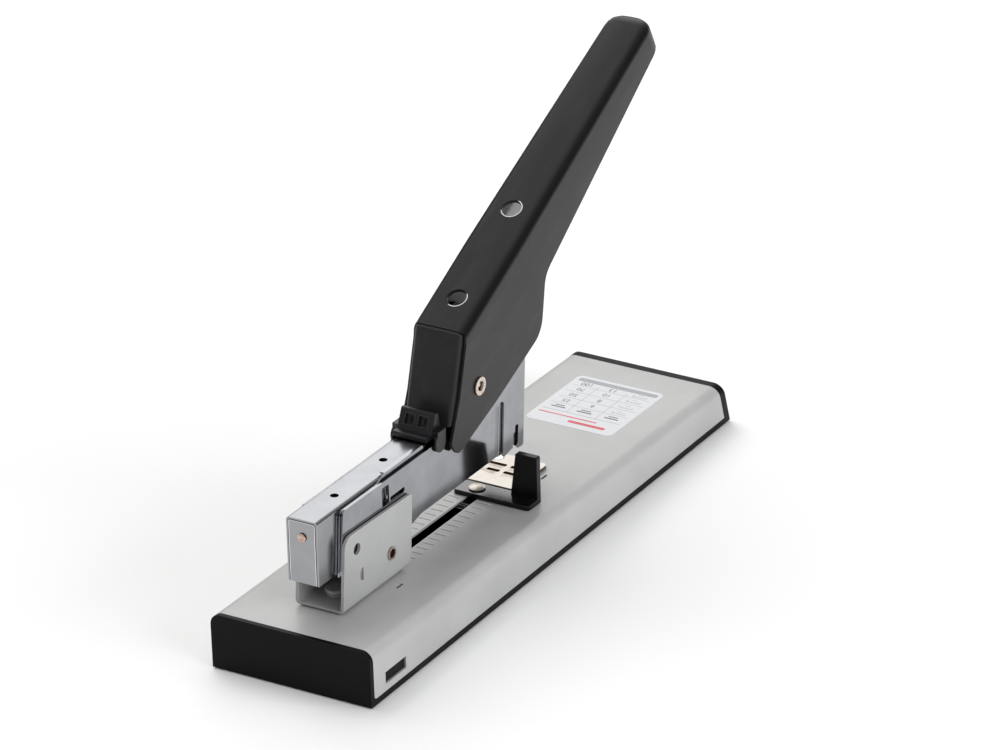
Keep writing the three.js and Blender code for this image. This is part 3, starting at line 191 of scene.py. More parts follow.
class Web:
    """The node tree of one material or world, with a short way to add each node."""

    def __init__(self, name: str, world: bool = False) -> None:
        """Makes a material, or a world, with an empty tree."""
        self.owner = (bpy.data.worlds if world else bpy.data.materials).new(name)
        self.owner.use_nodes = True
        self.tree = self.owner.node_tree
        self.tree.nodes.clear()

    def _plug(self, socket: bpy.types.NodeSocket, value: object) -> None:
        """Links or sets one input socket."""
        if isinstance(value, Signal):
            value = value.socket
        if isinstance(value, bpy.types.NodeSocket):
            self.tree.links.new(value, socket)
        elif isinstance(value, tuple) and socket.type == "RGBA" and len(value) == 3:
            socket.default_value = (*value, 1.0)
        else:
            socket.default_value = value

    def node(self, kind: str, settings: dict[str, object], *inputs: object, **named: object
             ) -> bpy.types.NodeOutputs:
        """Adds a node.

        Args:
            kind: the node's type name.
            settings: its own settings; "stops" gives a ramp's positions and colours.
            inputs: values or links for its sockets in order; None leaves one as it is.
            named: values or links for sockets by name, with _ for a space.

        Returns:
            The node's outputs.
        """
        made = self.tree.nodes.new(kind)
        for key, value in settings.items():
            if key == "stops":
                ramp = made.color_ramp
                while len(ramp.elements) < len(value):
                    ramp.elements.new(1.0)
                for element, (position, shade) in zip(ramp.elements, value):
                    element.position = position
                    element.color = (*shade, 1.0)
            else:
                setattr(made, key, value)
        open_sockets = [socket for socket in made.inputs if socket.enabled]
        for socket, value in zip(open_sockets, inputs):
            if value is not None:
                self._plug(socket, value)
        for key, value in named.items():
            self._plug(made.inputs[key.replace("_", " ")], value)
        return made.outputs

    @lru_cache(maxsize=None)
    def place(self) -> bpy.types.NodeSocket:
        """Object coordinates, which are metres in the row frame."""
        return self.node("ShaderNodeTexCoord", {})["Object"]

    @lru_cache(maxsize=None)
    def turned(self, turn: float) -> bpy.types.NodeSocket:
        """Object coordinates in millimetres, after a turn about Y in degrees."""
        return self.node(
            "ShaderNodeMapping", {"vector_type": "POINT"}, self.place(),
            Rotation=(0.0, -math.radians(turn), 0.0), Scale=(1 / MM, 1 / MM, 1 / MM))[0]

    @lru_cache(maxsize=None)
    def axes(self, turn: float) -> tuple[Signal, Signal, Signal]:
        """The same coordinates as three numbers."""
        parts = self.node("ShaderNodeSeparateXYZ", {}, self.turned(turn))
        return Signal(self, parts[0]), Signal(self, parts[1]), Signal(self, parts[2])

    def inside(self, place: Place) -> tuple[Signal, Signal, Signal]:
        """The coordinates a, y and c in the millimetres of a leaning frame.

        A point is scaled to millimetres, turned back by the frame's lean, and its origin is taken off.
        """
        cos, sin = math.cos(math.radians(place.turn)), math.sin(math.radians(place.turn))
        origin = (place.x * cos - place.z * sin, 0.0, place.x * sin + place.z * cos)
        a, y, c = self.axes(place.turn)
        return a - origin[0], y, c - origin[2]

    def stretched(self, scale: Triple, turn: float = 0.0) -> bpy.types.NodeSocket:
        """Object coordinates in millimetres times a scale along each axis, after a turn about Y."""
        return self.node("ShaderNodeVectorMath", {"operation": "MULTIPLY"}, self.turned(turn), scale)[0]

    def noise(self, size: float, detail: float = 3.0, rough: float = 0.5, stretch: Triple = (1.0, 1.0, 1.0),
              turn: float = 0.0) -> Signal:
        """Cloudy noise from 0 to 1.

        Args:
            size: how wide a cloud is, in millimetres.
            detail: how many finer octaves are laid over it.
            rough: how strong those are.
            stretch: how many times finer it is along each axis.
            turn: turns it about Y first, in degrees.

        Returns:
            The noise.
        """
        scale = tuple(share / size for share in stretch)
        made = self.node(
            "ShaderNodeTexNoise", {"noise_dimensions": "3D"}, Vector=self.stretched(scale, turn), Scale=1.0,
            Detail=detail, Roughness=rough)
        return Signal(self, made[0])

    def cells(self, size: float, stretch: Triple = (1.0, 1.0, 1.0)) -> Signal:
        """The distance to the nearest of scattered points that lie about size millimetres apart."""
        scale = tuple(share / size for share in stretch)
        made = self.node("ShaderNodeTexVoronoi", {"feature": "F1"}, Vector=self.stretched(scale), Scale=1.0)
        return Signal(self, made[0])

    def blend(self, low: object, high: object, share: Value) -> bpy.types.NodeSocket:
        """A colour between two colours or colour sockets."""
        made = self.tree.nodes.new("ShaderNodeMix")
        made.data_type = "RGBA"
        made.clamp_factor = True
        for index, value in ((0, share), (6, low), (7, high)):
            self._plug(made.inputs[index], value)
        return made.outputs[2]

    def bump(self, height: Value, depth: float, below: object = None) -> bpy.types.NodeSocket:
        """A bumped normal.

        Args:
            height: the height from 0 to 1.
            depth: how many millimetres a height of 1 is.
            below: a coarser bump that this one lies on.

        Returns:
            The normal.
        """
        named = {"Strength": 1.0, "Distance": depth * MM, "Height": height}
        if below is not None:
            named["Normal"] = below
        return self.node("ShaderNodeBump", {}, **named)[0]

    def finish(self, **sockets: object) -> bpy.types.Material:
        """Adds the surface shader with these sockets and returns the material."""
        shader = self.node("ShaderNodeBsdfPrincipled", {}, **sockets)
        self.node("ShaderNodeOutputMaterial", {}, shader[0])
        return self.owner


# Finishes


class Finish(ABC):
    """A surface finish; each one makes its material once and names the record's slot it stands for."""

    slot: str

    @abstractmethod
    def build(self) -> bpy.types.Material:
        """Makes the material."""

    @lru_cache(maxsize=None)
    def material(self) -> bpy.types.Material:
        """The material, made on first use."""
        return self.build()


@dataclass(frozen=True)
class GreyPaint(Finish):
    """Light grey stoving enamel on sheet steel, with a fine orange peel and a little grime."""

    name: str = "grey_paint"
    light: Colour = (0.455, 0.455, 0.449)
    shade: Colour = (0.40, 0.402, 0.397)
    # A dark colour for specks and a film of grime, also laid on as painted shade
    grime_and_shade: Colour = (0.28, 0.275, 0.26)
    slot: str = "grey_paint"

    def build(self) -> bpy.types.Material:
        """Clouds of two greys, darker specks, a soft film of grime, and peel as bump."""
        return self.paint(Web(self.name), 0.0)

    def paint(self, web: Web, painted_shade: Value) -> bpy.types.Material:
        """The paint with painted shade laid on where it is asked for.

        Args:
            web: the tree that the nodes go in.
            painted_shade: how much of the grime's colour is laid on as painted shade, from 0 to 1.

        Returns:
            The material.
        """
        clouds = web.noise(38.0, 4.0, 0.55)
        base = web.blend(self.shade, self.light, clouds.rise(0.3, 0.68))
        specks = 1 - web.cells(2.6).rise(0.05, 0.11)
        film = web.noise(11.0, 6.0, 0.6).rise(0.58, 0.8)
        # The grime colour goes on for the specks and the film, and as painted shade where asked
        tinted = web.blend(base, self.grime_and_shade, specks * 0.35 + film * 0.08 + painted_shade)
        peel = web.noise(0.9, 2.0, 0.4)
        rough = 0.36 + 0.1 * web.noise(6.0, 5.0, 0.6) + 0.08 * film
        normal = web.bump(peel, 0.012, web.bump(web.noise(24.0, 1.0), 0.06))
        return web.finish(
            Base_Color=tinted, Roughness=rough, Normal=normal, Coat_Weight=0.2 - 0.15 * film,
            Coat_Roughness=0.2)


@dataclass(frozen=True)
class CoverPaint(GreyPaint):
    """The base cover's paint, with painted shade on the walls of its two slits."""

    starts: tuple[float, float] = (57.7, 178.5)
    length: float = 5.0
    offset: float = -17.3
    width: float = 1.3

    def build(self) -> bpy.types.Material:
        """Painted shade in a box round each slit, under the top face."""
        web = Web(self.name)
        a, y, c = web.inside(DECK)
        across = y.within(self.offset - self.width * 0.62, self.offset + self.width * 0.62, 0.05)
        along = sum(a.within(start - 0.2, start + self.length + 0.2, 0.05) for start in self.starts)
        # Painted shade on the slits' walls, below the top face
        return self.paint(web, across * along * (1 - c.rise(-0.22, -0.06)))


@dataclass(frozen=True)
class BracketPaint(GreyPaint):
    """The bracket's paint, with painted shade in a line along its foot and in its half-moon dents."""

    half_width: float = 12.1
    inner_half: float = 10.9
    foot_start: float = 28.0
    foot_top: float = 0.6
    dent_end: float = 40.6
    dent_length: float = 3.1
    dent_low: float = 2.0
    dent_high: float = 14.0

    def build(self) -> bpy.types.Material:
        """Painted shade on the sides just over the base, broken by noise, and inside the dents' outline."""
        web = Web(self.name)
        a, y, c = web.inside(DECK)
        reach = abs(y)
        low = 1 - c.rise(self.foot_top / 2, self.foot_top)
        outside = reach.rise(self.half_width - 1.0, self.half_width - 0.6)
        ragged = web.noise(3.0, 4.0, 0.7).rise(0.3, 0.5)
        # Painted shade along the foot and in the dents
        foot = low * outside * a.rise(self.foot_start, self.foot_start + 3.0) * ragged
        dent = (a.within(self.dent_end - self.dent_length, self.dent_end, 0.1)
                * c.within(self.dent_low, self.dent_high, 0.5))
        sunk = 1 - reach.rise(self.half_width - 0.3, self.half_width - 0.1)
        walls = reach.rise(self.inner_half, self.inner_half + 0.1)
        return self.paint(web, foot * 0.8 + dent * sunk * walls * 0.5)


@dataclass(frozen=True)
class Moulded(Finish):
    """Black moulded plastic with a fine spark grain, pale rub marks, and a polish where paper rubs it."""

    name: str = "black_plastic"
    dark: Colour = (0.0030, 0.0026, 0.0037)
    rubbed: Colour = (0.0085, 0.0078, 0.0095)
    rough: float = 0.34
    grain: float = 0.35
    gloss: float = 0.1
    polish: float = 0.0
    polish_low: float = 2.05
    polish_top: float = 2.9
    slot: str = "black_plastic"

    def build(self) -> bpy.types.Material:
        """A near black with rubbed patches and hairline scuffs, and grain as bump."""
        web = Web(self.name)
        patches = web.noise(14.0, 6.0, 0.62).rise(0.5, 0.78)
        scuffs = web.noise(2.4, 4.0, 0.7, (0.12, 2.4, 1.0)).rise(0.66, 0.74)
        dust = 1 - web.cells(1.7).rise(0.03, 0.08)
        colour = web.blend(self.dark, self.rubbed, patches * 0.4 + scuffs * 0.4 + dust * 0.6)
        grain = web.noise(self.grain, 2.0, 0.5)
        rough = self.rough + 0.12 * patches + 0.1 * grain
        height = web.inside(DECK)[2]
        under = height.rise(self.polish_low, self.polish_low + 0.15)
        polished = self.polish * under * (1 - height.rise(self.polish_top - 0.3, self.polish_top))
        return web.finish(
            Base_Color=colour, Roughness=rough, Specular_IOR_Level=self.gloss, Normal=web.bump(grain, 0.016),
            Coat_Weight=polished, Coat_Roughness=0.16)


@dataclass(frozen=True)
class BlackPaint(Finish):
    """Satin black paint on pressed sheet, smooth, with dust specks and faint wiping marks."""

    name: str = "black_paint"
    dark: Colour = (0.0150, 0.0132, 0.0148)
    worn: Colour = (0.028, 0.0248, 0.0262)
    turn: float = -25.8
    gloss: float = 0.3
    slot: str = "black_paint"

    def build(self) -> bpy.types.Material:
        """A soft black whose gloss wanders along the grip, with a thin coat over it."""
        web = Web(self.name)
        return self.paint(web, self.dark, 1.0)

    def paint(self, web: Web, dark: object, coat: Value) -> bpy.types.Material:
        """The paint over a given dark colour.

        Args:
            web: the tree that the nodes go in.
            dark: the colour or colour socket where the paint is clean.
            coat: how much of the thin coat is left, from 0 to 1.

        Returns:
            The material.
        """
        wipes = web.noise(9.0, 5.0, 0.6, (0.25, 1.0, 1.0), self.turn)
        handled = wipes.rise(0.45, 0.75)
        dust = 1 - web.cells(2.1).rise(0.02, 0.045)
        colour = web.blend(dark, self.worn, (handled * 0.3 + dust * 0.6) * coat)
        peel = web.noise(0.7, 2.0, 0.45)
        rough = 0.33 + 0.1 * wipes + 0.04 * peel
        normal = web.bump(peel, 0.008, web.bump(web.noise(30.0, 1.0), 0.06))
        return web.finish(
            Base_Color=colour, Roughness=rough, Specular_IOR_Level=self.gloss, Normal=normal,
            Coat_Weight=(0.12 + 0.12 * handled) * coat, Coat_Roughness=0.35)


@dataclass(frozen=True)
class HandlePaint(BlackPaint):
    """The handle's paint: deeper over its two rolled edges as a painted dark reflection, and inside the
    channel deeper as painted shade, thin and grey past the liner's end.
    """

    half_width: float = 13.3
    taper_start: float = 55.0
    taper: float = 0.0151
    crown: float = 4.4
    top: float = 30.8
    inner_half: float = 12.15
    inner_top: float = 28.9
    inner_end: float = 176.0
    liner_end: float = 56.0
    thin_top: float = 13.0
    painted_dark: Colour = (0.0035, 0.0030, 0.0036)
    inner: Colour = (0.62, 0.62, 0.61)

    def build(self) -> bpy.types.Material:
        """A roll mask for the painted dark reflection and an inside mask for the painted shade, from the
        distance to the middle that the taper is added to.
        """
        web = Web(self.name)
        a, y, c = web.inside(GRIP)
        reach = abs(y) + (a - self.taper_start).most(0.0) * self.taper
        side, top = self.half_width - self.crown, self.top - self.crown
        # Painted dark reflection over the two rolled edges
        rolled = reach.rise(side + 0.2, side + 2.6) * c.rise(top + 0.2, top + 2.4)
        between = 1 - reach.rise(self.inner_half, self.inner_half + 0.2)
        below = 1 - c.rise(self.inner_top, self.inner_top + 0.4)
        # Painted shade inside the channel, with a thin grey patch past the liner's end
        hidden = between * below * (1 - a.rise(self.inner_end, self.inner_end + 4.0))
        thin = a.rise(self.liner_end, self.liner_end + 6.0) * (1 - c.rise(self.thin_top, self.thin_top + 3.5))
        outside = web.blend(self.dark, self.painted_dark, rolled)
        lining = web.blend(self.painted_dark, self.inner, thin)
        return self.paint(web, web.blend(outside, lining, hidden), 1 - rolled * 0.9)


@dataclass(frozen=True)
class LinerPaint(BlackPaint):
    """The liner's paint, a deeper black as painted shade on the side that faces the mechanism."""

    inner_half: float = 11.3
    sheet_foot: float = 2.2
    sheet_top: float = 30.2
    sheet_slope: float = 0.894
    sheet: float = 2.0
    painted_dark: Colour = (0.0025, 0.0022, 0.0025)

    def build(self) -> bpy.types.Material:
        """The painted shade lies between the two sides and ahead of the sheet that closes the rear."""
        web = Web(self.name)
        a, y, c = web.inside(GRIP)
        ahead = a - self.sheet_foot - (c - self.sheet_top) * self.sheet_slope
        between = 1 - abs(y).rise(self.inner_half - 0.3, self.inner_half)
        # Painted shade between the sides, ahead of the rear sheet
        inside = between * ahead.rise(self.sheet - 0.4, self.sheet)
        return self.paint(web, web.blend(self.dark, self.painted_dark, inside), 1 - inside)


@dataclass(frozen=True)
class Plated(Finish):
    """Plated sheet steel: a bright metal with rolling lines, clouds and small stains."""

    name: str
    bright: Colour
    dull: Colour
    stain_and_shade: Colour
    rough: float = 0.16
    lines: float = 0.5
    turn: float = 0.8
    stretch: Triple = (0.03, 1.0, 1.0)
    wave: float = 0.07
    slot: str = "zinc_plate"

    def metal(self, web: Web) -> tuple[object, Signal]:
        """The metal's colour and roughness, which the finishes below draw their marks on.

        Args:
            web: the tree that the nodes go in.

        Returns:
            The colour's socket and the roughness.
        """
        clouds = web.noise(15.0, 5.0, 0.58)
        lines = web.noise(self.lines, 3.0, 0.6, self.stretch, self.turn)
        stains = web.noise(4.2, 6.0, 0.7).rise(0.62, 0.8)
        metal = web.blend(self.dull, self.bright, clouds.rise(0.3, 0.72) * 0.75 + lines * 0.25)
        colour = web.blend(metal, self.stain_and_shade, stains * 0.35)
        rough = self.rough + 0.06 * (clouds - 0.5) + 0.06 * (lines - 0.5) + 0.08 * stains
        return colour, rough.most(0.07)

    def normal(self, web: Web) -> bpy.types.NodeSocket:
        """Fine rolling lines over the slow waves of a thin sheet."""
        lines = web.noise(self.lines, 3.0, 0.6, self.stretch, self.turn)
        return web.bump(lines, 0.0025, web.bump(web.noise(26.0, 1.0), self.wave))

    def plate(self, web: Web, colour: object, rough: Value) -> bpy.types.Material:
        """The plated sheet in a colour and roughness of a finish's own."""
        return web.finish(Base_Color=colour, Metallic=1.0, Roughness=rough, Normal=self.normal(web))

    def build(self) -> bpy.types.Material:
        """Rolling lines stretched along the sheet over clouds of two shades, with stains on top."""
        web = Web(self.name)
        return self.plate(web, *self.metal(web))


@dataclass(frozen=True)
class SidePlate(Plated):
    """The head's side plates, with painted shade on a fold beside the long slot and along a crease up to its
    top.
    """

    fold: float = -26.2
    slot_rear: float = -24.0
    slot_top: float = 26.0
    crease_start: float = -29.0
    slant: float = 0.55

    def build(self) -> bpy.types.Material:
        """The plate's metal, with painted shade on a pressed band behind the slot and along a crease over it.

        The band lies between the fold and the slot's rear edge, up to the slot's top. The crease
        is where the height over that top equals the way forward times the slant.
        """
        web = Web(self.name)
        colour, rough = self.metal(web)
        a, _, c = web.inside(NOSE)
        below = 1 - c.rise(self.slot_top - 1.2, self.slot_top - 0.6)
        band = a.within(self.fold, self.slot_rear, 0.15) * below
        off_crease = abs(c - self.slot_top - (a - self.slot_rear) * self.slant)
        crease = (1 - off_crease.rise(0.1, 0.4)) * a.within(self.crease_start, self.slot_rear, 0.2)
        # Painted shade on the band and the crease, in the stain colour
        shaded = web.blend(colour, self.stain_and_shade, band * 0.42 + crease * 0.4)
        return self.plate(web, shaded, rough)


@dataclass(frozen=True)
class Anvil(Plated):
    """The anvil's nickel plate, with brown painted shade in and round its grooves, partly tarnish where the
    staple's legs slide.
    """

    top: float = 1.8
    grooves: float = 172.3
    pitch: float = 6.2
    reach: float = 4.4
    narrowing: float = 0.26
    shade_and_tarnish: Colour = (0.15, 0.095, 0.06)
    slot: str = "nickel_plate"

    def build(self) -> bpy.types.Material:
        """The plate's metal, with brown painted shade under the top face and in blotches round the grooves,
        partly tarnish.

        A blotch fades with the way from its middle over its reach, which narrows with y.
        """
        web = Web(self.name)
        colour, rough = self.metal(web)
        a, y, c = web.inside(DECK)
        # Painted shade in the grooves, under the top face
        sunk = 1 - c.rise(self.top - 0.55, self.top - 0.12)
        spread = self.reach - abs(y) * self.narrowing
        middles = (self.grooves, self.grooves + self.pitch)
        # Blotches of painted shade round the grooves, partly tarnish
        rubbed = sum(1 - (abs(a - middle) / spread).rise(0.35, 1.0) for middle in middles)
        patchy = 0.45 + 0.55 * web.noise(2.6, 4.0, 0.6).rise(0.35, 0.7)
        blotched = rubbed * abs(y).within(1.8, 12.0, 1.0) * patchy
        shaded = web.blend(colour, self.shade_and_tarnish, sunk * 0.78 + blotched * 0.6)
        return self.plate(web, shaded, (rough + 0.2 * sunk).most(0.1))


class Along(Enum):
    """Which axis of its frame a rivet is turned about, as the places of the other two."""

    FORWARD = (1, 2)
    ACROSS = (0, 2)
    UPWARD = (0, 1)


@dataclass(frozen=True)
class Turned(Finish):
    """A turned or headed rivet metal, with rings round its own axis and a dull tarnish."""

    name: str
    bright: Colour
    tarnish: Colour
    rough: float = 0.3
    place: Place = ROW
    centre: Triple = (0.0, 0.0, 0.0)
    along: Along = Along.ACROSS
    bore: float = 0.0
    mouth: float = 0.0
    inside: Colour = (0.05, 0.03, 0.02)
    slot: str = "brassed_steel"

    def build(self) -> bpy.types.Material:
        """Rings by the distance from the axis, blotches of tarnish, and painted shade in a bore past its
        mouth.

        The distance is the root of the sum of two squares; its sine gives the turning marks.
        """
        web = Web(self.name)
        offsets = [axis - middle for axis, middle in zip(web.inside(self.place), self.centre)]
        first, second = (offsets[index] for index in self.along.value)
        distance = (first * first + second * second) ** 0.5
        rings = 0.5 + 0.5 * (distance * 19.0).sine()
        blotches = web.noise(1.6, 5.0, 0.65).rise(0.42, 0.72)
        grain = web.noise(0.22, 2.0, 0.5)
        colour = web.blend(self.bright, self.tarnish, blotches * 0.6 + grain * 0.2)
        # Painted shade in the bore past its mouth
        if self.bore:
            axial = abs(offsets[3 - sum(self.along.value)])
            past_mouth = 1 - axial.rise(self.mouth - 0.5, self.mouth)
            deep = (1 - distance.rise(self.bore, self.bore + 0.2)) * past_mouth
            colour = web.blend(colour, self.inside, deep)
        rough = self.rough + 0.2 * blotches + 0.1 * grain + 0.05 * rings
        normal = web.bump(rings, 0.004, web.bump(grain, 0.01))
        return web.finish(Base_Color=colour, Metallic=1.0, Roughness=rough, Normal=normal)


@dataclass(frozen=True)
class HighlitLip(Finish):
    """A punched hole's lip in black paint, with a painted highlight of bright metal on one side."""

    name: str
    centre: float
    limit: float
    radius: float = 4.5
    slot: str = "black_paint"

    def build(self) -> bpy.types.Material:
        """A painted highlight where the way to the near side and the rear, over the radius, is past a limit.
        """
        web = Web(self.name)
        a, y, _ = web.inside(GRIP)
        toward = (y * -0.8 - (a - self.centre) * 0.6) / self.radius + 0.25 * web.noise(1.2, 3.0)
        # Painted highlight on the lip's near and rear side
        lip_highlight = toward.rise(self.limit, self.limit + 0.35)
        colour = web.blend((0.006, 0.006, 0.0065), (0.88, 0.87, 0.86), lip_highlight)
        return web.finish(
            Base_Color=colour, Metallic=0.45 * lip_highlight, Roughness=0.42 - 0.16 * lip_highlight, Specular_IOR_Level=0.2,
            Normal=web.bump(web.noise(0.4, 2.0), 0.01))


@dataclass(frozen=True)
class Rubber(Finish):
    """Soft black rubber with a floury bloom."""

    name: str = "pad_rubber"
    slot: str = "pad_rubber"

    def build(self) -> bpy.types.Material:
        """A matt black with pale bloom in patches."""
        web = Web(self.name)
        bloom = web.noise(5.0, 6.0, 0.65).rise(0.45, 0.75)
        grain = web.noise(0.5, 3.0, 0.6)
        colour = web.blend((0.012, 0.012, 0.012), (0.05, 0.048, 0.045), bloom * 0.6 + grain * 0.2)
        return web.finish(Base_Color=colour, Roughness=0.75 + 0.15 * bloom, Normal=web.bump(grain, 0.05))


@dataclass(frozen=True)
class Print(Finish):
    """Printing ink or label film, slightly mottled."""

    name: str
    ink: Colour
    faded: Colour
    rough: float = 0.4
    slot: str = "grey_paint"

    def build(self) -> bpy.types.Material:
        """Two shades of the ink under a satin film."""
        web = Web(self.name)
        mottle = web.noise(2.2, 5.0, 0.6)
        fibre = web.noise(0.3, 3.0, 0.6)
        colour = web.blend(self.ink, self.faded, mottle.rise(0.35, 0.8) * 0.7 + fibre * 0.2)
        return web.finish(
            Base_Color=colour, Roughness=self.rough + 0.12 * mottle, Normal=web.bump(fibre, 0.004))


GREY = GreyPaint()
COVER_GREY = CoverPaint("cover_paint")
# The bracket's paint is a darker copy of the base's grey, as painted shade
BRACKET_GREY = BracketPaint(
    "bracket_paint", (0.425, 0.427, 0.424), (0.375, 0.377, 0.373), (0.15, 0.145, 0.135))
# A lighter grey for bevelled edges and the slot's lip, as painted highlight
GREY_EDGE_HIGHLIGHT = GreyPaint("grey_edge_highlight", (0.72, 0.72, 0.71), (0.64, 0.64, 0.63), (0.42, 0.41, 0.40))
# A lighter grey for the scale's ridges, as painted highlight
TICK_HIGHLIGHT = GreyPaint("tick_highlight_paint", (0.64, 0.64, 0.63), (0.52, 0.52, 0.51), (0.36, 0.35, 0.34))
PLASTIC = Moulded()
# A lighter black for the plastic's bevelled edges, as painted highlight
PLASTIC_EDGE_HIGHLIGHT = Moulded("plastic_edge_highlight", (0.008, 0.0075, 0.009), (0.017, 0.016, 0.019), 0.3, 0.35, 0.26)
LATCH_PLASTIC = Moulded("latch_plastic", (0.0085, 0.0078, 0.0092), (0.02, 0.019, 0.022), 0.25, 0.5, 0.4)
# A lighter black for the latch's edges and pocket frames, as painted highlight
LATCH_EDGE_HIGHLIGHT = Moulded("latch_edge_highlight", (0.022, 0.021, 0.024), (0.04, 0.038, 0.042), 0.25, 0.5, 0.5)
GUIDE_PLASTIC = Moulded(
    "guide_plastic", (0.0045, 0.0041, 0.0045), (0.013, 0.0125, 0.014), 0.24, 0.6, 0.26, 1.0)
LINER_BLACK = LinerPaint("liner_paint")
HANDLE_BLACK = HandlePaint("handle_paint")
# A lighter black for bevelled edges, as painted highlight
BLACK_EDGE_HIGHLIGHT = BlackPaint("black_edge_highlight", (0.03, 0.028, 0.029), (0.06, 0.056, 0.055), gloss=0.45)
RUBBER = Rubber()
ZINC = Plated("zinc_plate", (0.40, 0.405, 0.42), (0.33, 0.335, 0.35), (0.25, 0.235, 0.21))
SIDE_ZINC = SidePlate("side_zinc", (0.40, 0.405, 0.425), (0.30, 0.305, 0.325), (0.17, 0.165, 0.16), 0.12)
COVER_ZINC = Plated(
    "cover_zinc", (0.365, 0.37, 0.383), (0.31, 0.315, 0.328), (0.25, 0.235, 0.21), 0.22, wave=0.03)
# Bright bare metal of cut edges, laid on brighter than the plate as painted highlight
CUT_EDGE_HIGHLIGHT = Plated("cut_edge_highlight", (0.86, 0.86, 0.87), (0.72, 0.72, 0.74), (0.5, 0.48, 0.45), 0.2)
NICKEL = Plated(
    "nickel_plate", (0.80, 0.77, 0.72), (0.66, 0.63, 0.57), (0.55, 0.47, 0.36), 0.2, 0.4, slot="nickel_plate")
ANVIL = Anvil("anvil_nickel", (0.50, 0.468, 0.43), (0.42, 0.388, 0.348), (0.27, 0.215, 0.16), 0.2, 0.4)
STEEL = Plated(
    "spring_steel", (0.50, 0.50, 0.52), (0.33, 0.33, 0.35), (0.24, 0.21, 0.18), 0.26, 0.3,
    slot="spring_steel")
STAPLE_WIRE = Plated(
    "staple_wire", (0.62, 0.62, 0.63), (0.46, 0.46, 0.48), (0.4, 0.37, 0.33), 0.24, 0.25, 0.8,
    (1.0, 0.1, 1.0), slot="staple_wire")
PIVOT_METAL = Turned(
    "pivot_metal", (0.78, 0.70, 0.62), (0.42, 0.32, 0.25), 0.22, GRIP, bore=2.3, mouth=13.2)
PIN_METAL = Turned(
    "pin_metal", (0.66, 0.58, 0.50), (0.30, 0.21, 0.16), 0.26, HINGE, bore=2.2, mouth=12.5,
    inside=(0.16, 0.10, 0.07))
CORE_METAL = Turned("core_metal", (0.86, 0.78, 0.70), (0.55, 0.45, 0.37), 0.24, GRIP, (0.5, 0.0, 0.0))
ROD_METAL = Turned(
    "rod_metal", (0.74, 0.56, 0.46), (0.40, 0.27, 0.21), 0.3, HEAD, (0.0, 0.0, 21.6), Along.FORWARD)
GUIDE_METAL = Turned(
    "guide_metal", (0.86, 0.80, 0.72), (0.60, 0.52, 0.43), 0.3, DECK, (153.0, 0.0, 0.0), Along.UPWARD,
    slot="nickel_plate")
REAR_LIP = HighlitLip("rear_lip", 21.0, 0.2)
FRONT_LIP = HighlitLip("front_lip", 73.8, -0.45)
FILM = Print("label_film", (0.68, 0.69, 0.71), (0.64, 0.65, 0.67), 0.3)
GREY_INK = Print("grey_ink", (0.34, 0.35, 0.37), (0.42, 0.43, 0.45))
# A dark ink for the lines beside the scale's ridges, as painted shade
SCALE_SHADE_INK = Print("scale_shade_ink", (0.20, 0.20, 0.195), (0.30, 0.30, 0.295))
DARK_INK = Print("dark_ink", (0.14, 0.14, 0.15), (0.20, 0.20, 0.21))
RED_INK = Print("red_ink", (0.62, 0.07, 0.10), (0.68, 0.15, 0.17))


# Meshes: skins over rings, turned pieces, wires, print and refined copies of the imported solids


def linked(name: str, mesh: bpy.types.Mesh, finish: Finish) -> bpy.types.Object:
    """Puts a mesh in the scene with its finish."""
    made = bpy.data.objects.new(name, mesh)
    bpy.context.scene.collection.objects.link(made)
    mesh.materials.clear()
    mesh.materials.append(finish.material())
    return made


def shown(name: str, mesh: bpy.types.Mesh, finish: Finish, body: str) -> bpy.types.Object:
    """Links a mesh as a piece that rides on a body.

    Args:
        name: the piece's name.
        mesh: its mesh, already in place in the row frame.
        finish: what it is finished with.
        body: the body that it rides on.

    Returns:
        The piece.
    """
    made = linked(name, mesh, finish)
    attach(made, body)
    log.info("%s rides on %s", name, body)
    return made


def mesh_of(name: str, points: np.ndarray, faces: list[np.ndarray], smooth: bool = True) -> bpy.types.Mesh:
    """A mesh from an (n, 3) array of metres and arrays of faces with equal corners in each."""
    mesh = bpy.data.meshes.new(name)
    loops = np.concatenate([block.ravel() for block in faces])
    sizes = np.concatenate([np.full(len(block), block.shape[1]) for block in faces])
    starts = np.concatenate([[0], np.cumsum(sizes)[:-1]])
    mesh.vertices.add(len(points))
    mesh.vertices.foreach_set("co", points.astype(np.float32).ravel())
    mesh.loops.add(len(loops))
    mesh.loops.foreach_set("vertex_index", loops.astype(np.int32))
    mesh.polygons.add(len(sizes))
    mesh.polygons.foreach_set("loop_start", starts.astype(np.int32))
    mesh.polygons.foreach_set("use_smooth", np.full(len(sizes), smooth))
    mesh.update(calc_edges=True)
    mesh.validate()
    return mesh


def faced_outward(mesh: bpy.types.Mesh) -> bpy.types.Mesh:
    """Turns a closed mesh's faces over where its volume comes out negative, and marks its sharp edges."""
    work = bmesh.new()
    work.from_mesh(mesh)
    if work.calc_volume(signed=True) < 0:
        bmesh.ops.reverse_faces(work, faces=work.faces)
    for edge in work.edges:
        edge.smooth = len(edge.link_faces) == 2 and edge.calc_face_angle(0.0) < math.radians(SHARP_ANGLE)
    work.to_mesh(mesh)
    work.free()
    return mesh


